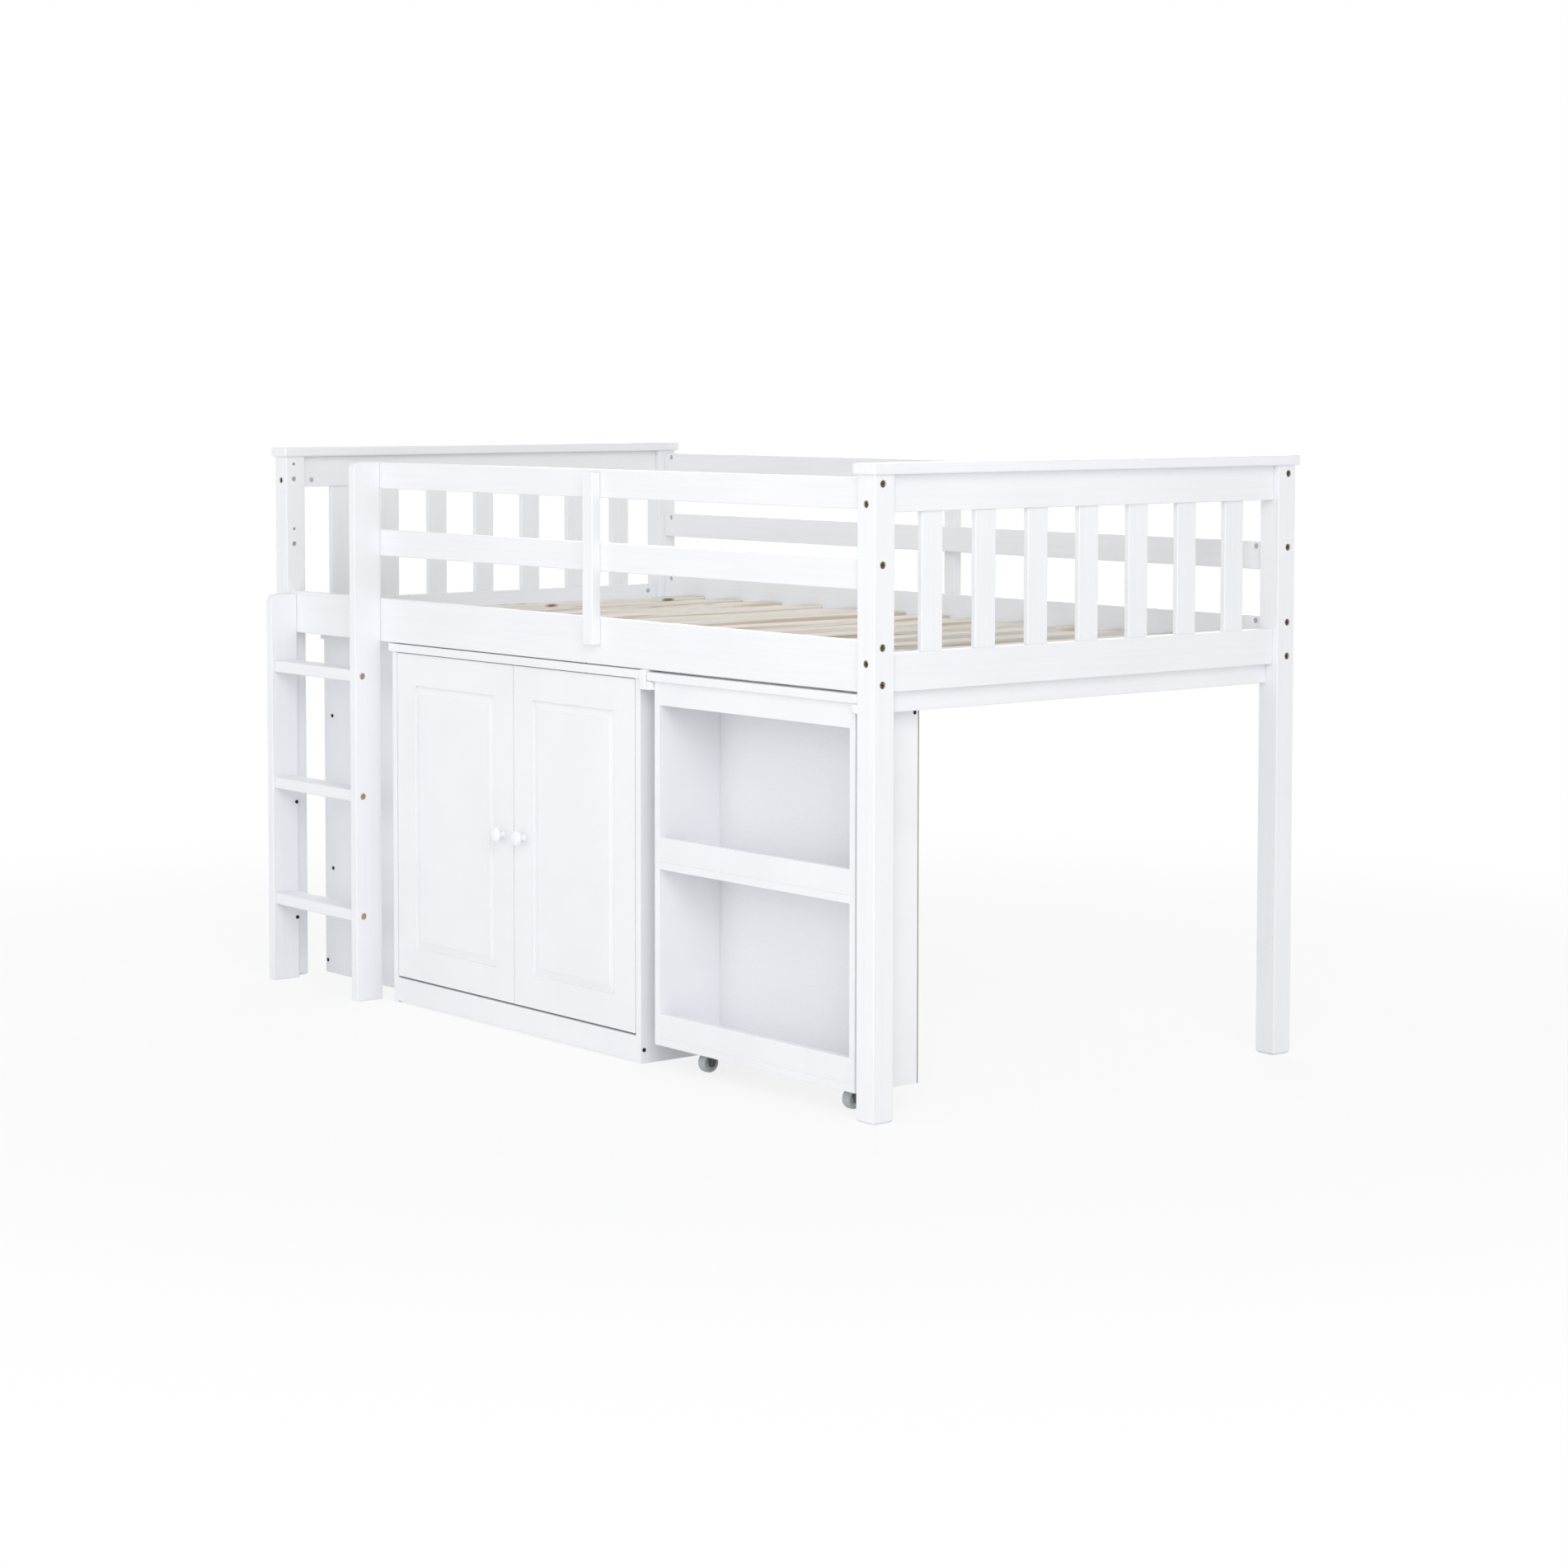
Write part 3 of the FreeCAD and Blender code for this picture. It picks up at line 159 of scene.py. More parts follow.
class Grain(Enum):
    """The way the fibres of a board run."""

    LENGTHWISE = 0
    CROSSWISE = 1
    UPRIGHT = 2

    def scale(self, run_mm: float, width_mm: float) -> tuple[float, float, float]:
        """Gives the pattern scale for streaks of that run and width.

        Args:
            run_mm: How long a streak runs along the fibres.
            width_mm: How wide it is across them.

        Returns:
            Repeats per metre along each axis.
        """
        repeats = [per_metre(width_mm)] * 3
        repeats[self.value] = per_metre(run_mm)
        return repeats[0], repeats[1], repeats[2]


class Outline(Enum):
    """The outline of one ring of a turned piece."""

    ROUND = "round"
    HEX = "hex"
    CROSS = "cross"

    def reach(self, angle: float) -> float:
        """Gives the ring's reach in one direction, as a share of its radius.

        Args:
            angle: The direction in radians.

        Returns:
            One on a round ring, and less between the corners or arms of the others.
        """
        if self is Outline.HEX:
            return math.cos(math.pi / 6) / math.cos(angle % (math.pi / 3) - math.pi / 6)
        if self is Outline.CROSS:
            off_arm = abs((angle + math.pi / 4) % (math.pi / 2) - math.pi / 4)
            return 1.0 if off_arm < ARM_HALF_ANGLE else WAIST_SHARE
        return 1.0


@dataclass(frozen=True)
class EdgeWear:
    """How far a finish gives way along the edges of a piece.

    A normal that is rounded over a short reach turns away from the true one near an edge. The wear starts at
    one cosine of that turn and is full at a smaller one.
    """

    reach_mm: float
    starts: float
    full: float
    most: float

    def share(self, tree: NodeTree) -> Node:
        """Adds the test for edges.

        Args:
            tree: The material's node tree.

        Returns:
            The node that gives zero on flat faces, and up to the most at an edge.
        """
        face = add(tree, "ShaderNodeNewGeometry")
        eased = add(tree, "ShaderNodeBevel", {"Radius": self.reach_mm * MM}, samples=4)
        turn = add(tree, "ShaderNodeVectorMath", {
            0: face.outputs["Normal"], 1: eased}, operation="DOT_PRODUCT")
        return add(tree, "ShaderNodeMapRange", {
            "Value": turn, "From Min": self.starts, "From Max": self.full, "To Max": self.most})


@dataclass(frozen=True)
class Finish:
    """One surface that pieces are given, kept as one material."""

    label: str

    def material(self) -> Material:
        """Makes the material at its first use and hands out the same one after that.

        Returns:
            The finished material.
        """
        found = bpy.data.materials.get(self.label)
        if found is not None:
            return found
        made = bpy.data.materials.new(self.label)
        tree = fresh_tree(made)
        shader = add(tree, "ShaderNodeBsdfPrincipled", self.paint(tree))
        add(tree, "ShaderNodeOutputMaterial", {"Surface": shader})
        return made

    def paint(self, tree: NodeTree) -> dict[str, object]:
        """Builds the surface; each finish has its own.

        Args:
            tree: The material's node tree.

        Returns:
            The shader's inputs, by name.
        """
        raise NotImplementedError

    def cover(self, *nodes: str) -> None:
        """Gives this finish to CAD nodes.

        Args:
            nodes: The names of the nodes.
        """
        for name in nodes:
            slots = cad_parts[name].data.materials
            slots.clear()
            slots.append(self.material())
            LOG.info("%s: %s", name, self.label)


@dataclass(frozen=True)
class SprayedLacquer(Finish):
    """Satin white lacquer, sprayed in thin coats on planed solid wood.

    The eye sees an even cool white. Fibres show as long faint streaks in tone and gloss, the coat has a soft
    orange peel, and it thins to a warmer tone where it draws back from the arrises.
    """

    grain: Grain = Grain.UPRIGHT
    coat: str = "#F3F5F8"
    streak: str = "#ECEEF1"
    arris: str = "#ECE8DF"
    gloss: float = 0.34
    ior: float = 1.5
    # Run and width. Pine fibres are about 1 mm wide; drawn at 7 mm, since finer streaks would not show.
    streak_mm: tuple[float, float] = (320.0, 7.0)
    streak_height_mm: float = 0.4
    cloud_mm: float = 260.0
    peel_mm: float = 3.5
    peel_height_mm: float = 0.25
    wear: EdgeWear = EdgeWear(reach_mm=2.2, starts=0.995, full=0.9, most=0.5)

    def paint(self, tree: NodeTree) -> dict[str, object]:
        """Lays streaks, cloudy tone, thin arrises and orange peel.

        Args:
            tree: The material's node tree.

        Returns:
            The shader's inputs, by name.
        """
        place = add(tree, "ShaderNodeTexCoord").outputs["Object"]
        run = add(tree, "ShaderNodeMapping", {"Vector": place, "Scale": self.grain.scale(*self.streak_mm)})
        fibre = add(tree, "ShaderNodeTexNoise", {
            "Vector": run, "Scale": 1.0, "Detail": 5.0, "Roughness": 0.62})
        cloud, peel = (
            add(tree, "ShaderNodeTexNoise", {"Vector": place, "Scale": per_metre(size), "Detail": detail})
            for size, detail in ((self.cloud_mm, 2.0), (self.peel_mm, 1.0)))
        faint = add(tree, "ShaderNodeMapRange", {
            "Value": fibre, "From Min": 0.42, "From Max": 0.75, "To Max": 0.5})
        toned = add(tree, "ShaderNodeMix", {
            0: faint, 1: linear(self.coat), 2: linear(self.streak)}, data_type="RGBA")
        hazy = add(tree, "ShaderNodeMapRange", {
            "Value": cloud, "From Min": 0.35, "From Max": 0.7, "To Min": 1.0, "To Max": 0.975})
        even = add(tree, "ShaderNodeVectorMath", {0: toned, "Scale": hazy}, operation="SCALE")
        broken = add(tree, "ShaderNodeMath", {0: self.wear.share(tree), 1: fibre}, operation="MULTIPLY")
        skin = add(tree, "ShaderNodeMix", {0: broken, 1: even, 2: linear(self.arris)}, data_type="RGBA")
        sheen = add(tree, "ShaderNodeMapRange", {
            "Value": fibre, "To Min": self.gloss - 0.05, "To Max": self.gloss + 0.1})
        raised = add(tree, "ShaderNodeBump", {
            "Height": fibre, "Strength": 0.03, "Distance": self.streak_height_mm * MM})
        rippled = add(tree, "ShaderNodeBump", {
            "Height": peel, "Strength": 0.06, "Distance": self.peel_height_mm * MM, "Normal": raised})
        return {"Base Color": skin, "Roughness": sheen, "Normal": rippled, "IOR": self.ior}


@dataclass(frozen=True)
class PanelPaint(Finish):
    """White paint on MDF and particle board.

    With no fibres under it the surface is smoother and flatter than the lacquered wood: a fine even stipple,
    a hardly visible cloudiness, and a softer line where the paint rounds the edges.
    """

    coat: str = "#F3F4F7"
    haze: str = "#EBEDF1"
    edge: str = "#EEEBE5"
    gloss: float = 0.38
    ior: float = 1.5
    cloud_mm: float = 180.0
    stipple_mm: float = 2.4
    stipple_height_mm: float = 0.2
    wear: EdgeWear = EdgeWear(reach_mm=1.6, starts=0.995, full=0.88, most=0.4)

    def paint(self, tree: NodeTree) -> dict[str, object]:
        """Lays cloudiness, soft edges and the stipple.

        Args:
            tree: The material's node tree.

        Returns:
            The shader's inputs, by name.
        """
        place = add(tree, "ShaderNodeTexCoord").outputs["Object"]
        cloud, stipple = (
            add(tree, "ShaderNodeTexNoise", {"Vector": place, "Scale": per_metre(size), "Detail": detail})
            for size, detail in ((self.cloud_mm, 3.0), (self.stipple_mm, 2.0)))
        hazy = add(tree, "ShaderNodeMapRange", {
            "Value": cloud, "From Min": 0.4, "From Max": 0.7, "To Max": 0.6})
        toned = add(tree, "ShaderNodeMix", {
            0: hazy, 1: linear(self.coat), 2: linear(self.haze)}, data_type="RGBA")
        skin = add(tree, "ShaderNodeMix", {
            0: self.wear.share(tree), 1: toned, 2: linear(self.edge)}, data_type="RGBA")
        sheen = add(tree, "ShaderNodeMapRange", {
            "Value": cloud, "To Min": self.gloss - 0.04, "To Max": self.gloss + 0.06})
        rippled = add(tree, "ShaderNodeBump", {
            "Height": stipple, "Strength": 0.05, "Distance": self.stipple_height_mm * MM})
        return {"Base Color": skin, "Roughness": sheen, "Normal": rippled, "IOR": self.ior}


@dataclass(frozen=True)
class BackBoard(Finish):
    """Hardboard faced with white paper, its sawn edges left raw.

    The faces are flat white with a slight fleck, and the edges show the brown pressed fibre.
    """

    face: str = "#F1F2F5"
    raw: str = "#A09382"
    raw_dark: str = "#80735F"
    fleck_mm: float = 6.0
    fibre_mm: float = 1.5
    fibre_height_mm: float = 0.2

    def paint(self, tree: NodeTree) -> dict[str, object]:
        """Splits white faces from brown edges by the way the surface faces.

        Args:
            tree: The material's node tree.

        Returns:
            The shader's inputs, by name.
        """
        place = add(tree, "ShaderNodeTexCoord").outputs["Object"]
        fleck, fibre = (
            add(tree, "ShaderNodeTexNoise", {"Vector": place, "Scale": per_metre(size), "Detail": 4.0})
            for size in (self.fleck_mm, self.fibre_mm))
        bare = add(tree, "ShaderNodeMix", {
            0: fibre, 1: linear(self.raw), 2: linear(self.raw_dark)}, data_type="RGBA")
        paper = add(tree, "ShaderNodeMapRange", {
            "Value": fleck, "From Min": 0.4, "From Max": 0.75, "To Min": 1.0, "To Max": 0.97})
        white = add(tree, "ShaderNodeVectorMath", {
            0: linear(self.face)[:3], "Scale": paper}, operation="SCALE")
        facing = add(tree, "ShaderNodeSeparateXYZ", {0: add(tree, "ShaderNodeNewGeometry").outputs["Normal"]})
        flat = add(tree, "ShaderNodeMath", {0: facing.outputs["Y"]}, operation="ABSOLUTE")
        sawn = add(tree, "ShaderNodeMapRange", {"Value": flat, "From Min": 0.9, "From Max": 0.6})
        skin = add(tree, "ShaderNodeMix", {0: sawn, 1: white, 2: bare}, data_type="RGBA")
        dull = add(tree, "ShaderNodeMapRange", {"Value": sawn, "To Min": 0.5, "To Max": 0.85})
        rough = add(tree, "ShaderNodeBump", {
            "Height": fibre, "Strength": 0.15, "Distance": self.fibre_height_mm * MM})
        return {"Base Color": skin, "Roughness": dull, "Normal": rough}


@dataclass(frozen=True)
class RawPine(Finish):
    """Pine, planed and left bare.

    The eye sees pale greyed boards, each a little different, with long straight growth lines, fine darker
    streaks, a few small knots and the dry sheen of unsealed wood.
    """

    pale: str = "#EBE8E0"
    mid: str = "#E0DBD0"
    late_wood: str = "#BFA88A"
    knot: str = "#6A4C34"
    grain: Grain = Grain.CROSSWISE
    # Run and width of a band of growth lines, of a fibre, and of the patch of board that may hold a knot.
    band_mm: tuple[float, float] = (1500.0, 18.0)
    fibre_mm: tuple[float, float] = (160.0, 2.5)
    patch_mm: tuple[float, float] = (170.0, 62.0)
    lines_in_band: float = 5.0
    clear_share: float = 0.8
    relief_mm: float = 0.3

    def paint(self, tree: NodeTree) -> dict[str, object]:
        """Lays growth lines, streaks, knots and board-to-board tone.

        Args:
            tree: The material's node tree.

        Returns:
            The shader's inputs, by name.
        """
        place = add(tree, "ShaderNodeTexCoord").outputs["Object"]
        own = add(tree, "ShaderNodeAttribute", attribute_name=SHIFT_NAME)
        moved = add(tree, "ShaderNodeVectorMath", {0: place, 1: own.outputs["Vector"]}, operation="ADD")
        bands, fibres, patches = (
            add(tree, "ShaderNodeMapping", {"Vector": moved, "Scale": self.grain.scale(*size)})
            for size in (self.band_mm, self.fibre_mm, self.patch_mm))
        lines = add(tree, "ShaderNodeTexNoise", {
            "Vector": bands, "Scale": 1.0, "Detail": 2.0, "Distortion": 0.35})
        rings = add(tree, "ShaderNodeMath", {
            0: lines, 1: self.lines_in_band * math.tau}, operation="MULTIPLY")
        banded = add(tree, "ShaderNodeMath", {0: rings}, operation="SINE")
        late = add(tree, "ShaderNodeMapRange", {
            "Value": banded, "From Min": 0.5, "From Max": 1.0, "To Max": 0.7})
        fibre = add(tree, "ShaderNodeTexNoise", {"Vector": fibres, "Scale": 1.0, "Detail": 4.0})
        body = add(tree, "ShaderNodeMix", {
            0: fibre, 1: linear(self.pale), 2: linear(self.mid)}, data_type="RGBA")
        lined = add(tree, "ShaderNodeMix", {0: late, 1: body, 2: linear(self.late_wood)}, data_type="RGBA")
        eyes = add(tree, "ShaderNodeTexVoronoi", {"Vector": patches, "Scale": 1.0}, voronoi_dimensions="2D")
        rare = add(tree, "ShaderNodeSeparateColor", {0: eyes.outputs["Color"]})
        few = add(tree, "ShaderNodeMath", {0: rare, 1: self.clear_share}, operation="GREATER_THAN")
        spot = add(tree, "ShaderNodeMapRange", {
            "Value": eyes.outputs["Distance"], "From Min": 0.13, "From Max": 0.06, "To Max": 0.85})
        knots = add(tree, "ShaderNodeMath", {0: spot, 1: few}, operation="MULTIPLY")
        knotted = add(tree, "ShaderNodeMix", {0: knots, 1: lined, 2: linear(self.knot)}, data_type="RGBA")
        lot = add(tree, "ShaderNodeSeparateXYZ", {0: own.outputs["Vector"]})
        tone = add(tree, "ShaderNodeMapRange", {
            "Value": lot.outputs["X"], "From Max": MOST_SHIFT, "To Min": 0.93, "To Max": 1.05})
        skin = add(tree, "ShaderNodeVectorMath", {0: knotted, "Scale": tone}, operation="SCALE")
        dry = add(tree, "ShaderNodeMapRange", {"Value": fibre, "To Min": 0.6, "To Max": 0.8})
        felt = add(tree, "ShaderNodeBump", {
            "Height": fibre, "Strength": 0.25, "Distance": self.relief_mm * MM})
        ridged = add(tree, "ShaderNodeBump", {
            "Height": late, "Strength": 0.2, "Distance": self.relief_mm * MM, "Normal": felt})
        return {"Base Color": skin, "Roughness": dry, "Normal": ridged}


@dataclass(frozen=True)
class DowelBeech(Finish):
    """Beech rod, turned and left bare: a warm even tan with short dark flecks and a rubbed, dry surface."""

    wood: str = "#C9A57B"
    fleck: str = "#9C7449"
    dryness: float = 0.7
    fleck_mm: float = 2.2
    rub_height_mm: float = 0.2

    def paint(self, tree: NodeTree) -> dict[str, object]:
        """Lays the flecks and a fine rubbed bump.

        Args:
            tree: The material's node tree.

        Returns:
            The shader's inputs, by name.
        """
        place = add(tree, "ShaderNodeTexCoord").outputs["Object"]
        spots = add(tree, "ShaderNodeTexNoise", {
            "Vector": place, "Scale": per_metre(self.fleck_mm), "Detail": 5.0})
        few = add(tree, "ShaderNodeMapRange", {
            "Value": spots, "From Min": 0.5, "From Max": 0.75, "To Max": 0.8})
        skin = add(tree, "ShaderNodeMix", {
            0: few, 1: linear(self.wood), 2: linear(self.fleck)}, data_type="RGBA")
        rubbed = add(tree, "ShaderNodeBump", {
            "Height": spots, "Strength": 0.3, "Distance": self.rub_height_mm * MM})
        return {"Base Color": skin, "Normal": rubbed, "Roughness": self.dryness}


@dataclass(frozen=True)
class PlatedMetal(Finish):
    """Steel with a thin plated or blackened skin.

    The eye sees a metal gloss that varies in small clouds, a second tone where the skin is thin, rubbed
    bright edges, and fine tool marks.
    """

    skin: str = "#C9CDD0"
    second: str = "#AEB4B8"
    rubbed: str = "#E1E2E1"
    gloss: float = 0.32
    cloud_mm: float = 2.5
    mark_mm: float = 0.6
    mark_height_mm: float = 0.05
    wear: EdgeWear = EdgeWear(reach_mm=0.8, starts=0.99, full=0.85, most=0.8)

    def paint(self, tree: NodeTree) -> dict[str, object]:
        """Lays clouds, rubbed edges and tool marks.

        Args:
            tree: The material's node tree.

        Returns:
            The shader's inputs, by name.
        """
        place = add(tree, "ShaderNodeTexCoord").outputs["Object"]
        cloud, marks = (
            add(tree, "ShaderNodeTexNoise", {"Vector": place, "Scale": per_metre(size), "Detail": detail})
            for size, detail in ((self.cloud_mm, 3.0), (self.mark_mm, 2.0)))
        spread = add(tree, "ShaderNodeMapRange", {"Value": cloud, "From Min": 0.35, "From Max": 0.65})
        plated = add(tree, "ShaderNodeMix", {
            0: spread, 1: linear(self.skin), 2: linear(self.second)}, data_type="RGBA")
        worn = add(tree, "ShaderNodeMix", {
            0: self.wear.share(tree), 1: plated, 2: linear(self.rubbed)}, data_type="RGBA")
        sheen = add(tree, "ShaderNodeMapRange", {
            "Value": cloud, "To Min": self.gloss - 0.08, "To Max": self.gloss + 0.12})
        scored = add(tree, "ShaderNodeBump", {
            "Height": marks, "Strength": 0.12, "Distance": self.mark_height_mm * MM})
        return {"Base Color": worn, "Roughness": sheen, "Normal": scored, "Metallic": 1.0}


@dataclass(frozen=True)
class MouldedPlastic(Finish):
    """Injection-moulded plastic.

    The eye sees an even colour with a faint flow mottle, a fine spark-eroded grain and a soft gloss.
    """

    tone: str = "#C4C9CA"
    mottle: str = "#B3B9BA"
    scuff: str = "#D3D6D6"
    gloss: float = 0.48
    ior: float = 1.49
    flow_mm: float = 14.0
    grain_mm: float = 0.9
    grain_height_mm: float = 0.1
    wear: EdgeWear = EdgeWear(reach_mm=1.2, starts=0.99, full=0.85, most=0.5)

    def paint(self, tree: NodeTree) -> dict[str, object]:
        """Lays mottle, scuffed rims and the mould's grain.

        Args:
            tree: The material's node tree.

        Returns:
            The shader's inputs, by name.
        """
        place = add(tree, "ShaderNodeTexCoord").outputs["Object"]
        flow, grain = (
            add(tree, "ShaderNodeTexNoise", {"Vector": place, "Scale": per_metre(size), "Detail": 2.0})
            for size in (self.flow_mm, self.grain_mm))
        body = add(tree, "ShaderNodeMix", {
            0: flow, 1: linear(self.tone), 2: linear(self.mottle)}, data_type="RGBA")
        skin = add(tree, "ShaderNodeMix", {
            0: self.wear.share(tree), 1: body, 2: linear(self.scuff)}, data_type="RGBA")
        sheen = add(tree, "ShaderNodeMapRange", {
            "Value": grain, "To Min": self.gloss - 0.06, "To Max": self.gloss + 0.1})
        pitted = add(tree, "ShaderNodeBump", {
            "Height": grain, "Strength": 0.1, "Distance": self.grain_height_mm * MM})
        return {"Base Color": skin, "Roughness": sheen, "Normal": pitted, "IOR": self.ior}


WHITE_LENGTHWISE = SprayedLacquer("white_lacquer_lengthwise", grain=Grain.LENGTHWISE)
WHITE_CROSSWISE = SprayedLacquer("white_lacquer_crosswise", grain=Grain.CROSSWISE)
WHITE_UPRIGHT = SprayedLacquer("white_lacquer_upright", grain=Grain.UPRIGHT)
WHITE_KNOB = SprayedLacquer("white_knob_gloss", gloss=0.22, streak_mm=(30.0, 3.0))
WHITE_PANEL = PanelPaint("white_panel_paint")
WHITE_DOOR = PanelPaint(
    "white_door_paint", haze="#EDEFF2", gloss=0.34, stipple_mm=3.0,
    wear=EdgeWear(reach_mm=2.0, starts=0.995, full=0.88, most=0.4))
BACK_BOARD = BackBoard("white_back_board")
BARE_PINE = RawPine("bare_pine")
BARE_BEECH = DowelBeech("bare_beech")
# All the bolts are one brass, kept in two copies. The frame bolts' copy is darkened as painted shade of their
# counterbores and of dark reflections. Its bright rubbed edges are partly worn brass and partly painted
# highlight.
ANTIQUE_BRASS_AND_PAINTED_SHADE = PlatedMetal(
    "antique_brass_with_painted_shade", skin="#84704C", second="#5A4B34", rubbed="#E6D09E", gloss=0.26, cloud_mm=3.0)
# The ladder bolts' copy of the same brass is lighter as painted light.
PALE_BRASS_AND_PAINTED_LIGHT = PlatedMetal(
    "pale_brass_with_painted_light", skin="#CBB58C", second="#AD9469", rubbed="#EFE0BC", gloss=0.3, cloud_mm=3.0)
BRIGHT_ZINC = PlatedMetal("bright_zinc_plating", skin="#C3CCCF", second="#A9B6BA", rubbed="#E3E6E6")
BLACK_ZINC = PlatedMetal(
    "black_zinc_plating", skin="#37322D", second="#26221F", rubbed="#6E665C", gloss=0.4)
NICKEL = PlatedMetal("nickel_plating", skin="#C6C5C0", second="#B2B1AC", rubbed="#E6E5E1", gloss=0.24)
DARK_FORK = MouldedPlastic(
    "charcoal_caster_housing", tone="#4B4F51", mottle="#3F4345", scuff="#6C7173", gloss=0.42)
GREY_TYRE = MouldedPlastic("grey_caster_tyre")


@dataclass(frozen=True)
class Ring:
    """One ring of a turned piece, in millimetres along its axis."""

    radius: float
    depth: float
    outline: Outline = Outline.ROUND


def quarter(start: Ring, end: Ring, across: bool, steps: int = 6) -> list[Ring]:
    """Rounds an outline between two rings by a quarter of an ellipse.

    Args:
        start: The ring before the round, which isn't repeated.
        end: The ring that the round ends on.
        across: Whether the round leaves the first ring across the axis, or else along it.
        steps: The number of rings that it adds.

    Returns:
        The rings after the first, up to the last.
    """
    rings = []
    for step in range(1, steps):
        angle = math.pi / 2 * step / steps
        early, late = math.sin(angle), 1 - math.cos(angle)
        out, on = (early, late) if across else (late, early)
        rings.append(Ring(start.radius + (end.radius - start.radius) * out,
                          start.depth + (end.depth - start.depth) * on))
    return rings + [end]


def turned(name: str, rings: Sequence[Ring], segments: int, place: Matrix) -> Object:
    """Turns a piece from rings along Z, closed where its first and last rings have no radius.

    Args:
        name: The name of the new object.
        rings: The rings in order along the outline; the last may lead back to the first.
        segments: The number of points on a ring.
        place: Where the turned shape goes.

    Returns:
        A mesh object at the origin, smooth except at its arrises.
    """
    shape = bmesh.new()
    rows = []
    for ring in rings:
        if ring.radius == 0:
            rows.append([shape.verts.new((0, 0, ring.depth * MM))])
            continue
        row = []
        for step in range(segments):
            angle = math.tau * step / segments
            reach = ring.radius * MM * ring.outline.reach(angle)
            row.append(shape.verts.new((reach * math.cos(angle), reach * math.sin(angle), ring.depth * MM)))
        rows.append(row)
    for one, other in zip(rows, rows[1:]):
        for step in range(segments):
            after = (step + 1) % segments
            if len(one) == 1:
                shape.faces.new((one[0], other[step], other[after]))
            elif len(other) == 1:
                shape.faces.new((one[step], other[0], one[after]))
            else:
                shape.faces.new((one[step], other[step], other[after], one[after]))
    bmesh.ops.remove_doubles(shape, verts=shape.verts, dist=MERGE_MM * MM)
    bmesh.ops.recalc_face_normals(shape, faces=shape.faces)
    bmesh.ops.transform(shape, matrix=place, verts=shape.verts)
    mesh = bpy.data.meshes.new(name)
    shape.to_mesh(mesh)
    shape.free()
    mesh.shade_smooth()
    mesh.set_sharp_from_angle(angle=CRISP_ANGLE)
    return placed(name, mesh)


class NodeBuild:
    """A Geometry Nodes tree with named inputs, run once to give a plain mesh."""

    def __init__(self, label: str, sizes: dict[str, object]) -> None:
        """Starts a tree with one geometry going in, one coming out, and its named inputs.

        Args:
            label: The tree's name.
            sizes: The value that each named input gets.
        """
        self.tree = bpy.data.node_groups.new(label, "GeometryNodeTree")
        ends = self.tree.interface
        for way in ("INPUT", "OUTPUT"):
            ends.new_socket("Geometry", in_out=way, socket_type="NodeSocketGeometry")
        self.values: dict[str, object] = {}
        for name, value in sizes.items():
            socket = ends.new_socket(name, in_out="INPUT", socket_type=SOCKETS[type(value)])
            self.values[socket.identifier] = value
        self.given = add(self.tree, "NodeGroupInput").outputs

    def close(self, laid: Node) -> None:
        """Ends the tree: instances become real, take the input named Finish and go out.

        Args:
            laid: The node that gives the instances.
        """
        real = add(self.tree, "GeometryNodeRealizeInstances", {"Geometry": laid})
        dressed = add(self.tree, "GeometryNodeSetMaterial", {
            "Geometry": real, "Material": self.given["Finish"]})
        add(self.tree, "NodeGroupOutput", {"Geometry": dressed})

    def run(self, name: str, source: Mesh) -> Object:
        """Runs the tree on a mesh of points.

        Args:
            name: The name of the new piece.
            source: The points that the tree works on.

        Returns:
            The piece as a plain mesh at the origin, with no modifier.
        """
        piece = placed(name, source)
        modifier = piece.modifiers.new("build", "NODES")
        modifier.node_group = self.tree
        for identifier, value in self.values.items():
            modifier[identifier] = value
        whole = piece.evaluated_get(bpy.context.evaluated_depsgraph_get())
        mesh = bpy.data.meshes.new_from_object(whole)
        piece.modifiers.remove(modifier)
        piece.data = mesh
        mesh.name = name
        return piece


@dataclass
class BedFrame:
    """Posts, end boards, rails and stiles of the bed, in lacquered wood."""

    upright: tuple[str, ...] = (
        "front_left_post", "front_right_post", "rear_left_post", "rear_right_post",
        "headboard_spindles", "footboard_spindles", "front_guard_stile", "rear_guard_stile")
    crosswise: tuple[str, ...] = (
        "headboard_cap", "headboard_top_rail", "headboard_bottom_rail",
        "footboard_cap", "footboard_top_rail", "footboard_bottom_rail")
    lengthwise: tuple[str, ...] = (
        "front_side_rail", "rear_side_rail", "front_guard_rails", "rear_guard_rails",
        "front_ledger", "rear_ledger")

    def dress(self) -> None:
        """Lacquers each board along its own fibres."""
        WHITE_UPRIGHT.cover(*self.upright)
        WHITE_CROSSWISE.cover(*self.crosswise)
        WHITE_LENGTHWISE.cover(*self.lengthwise)


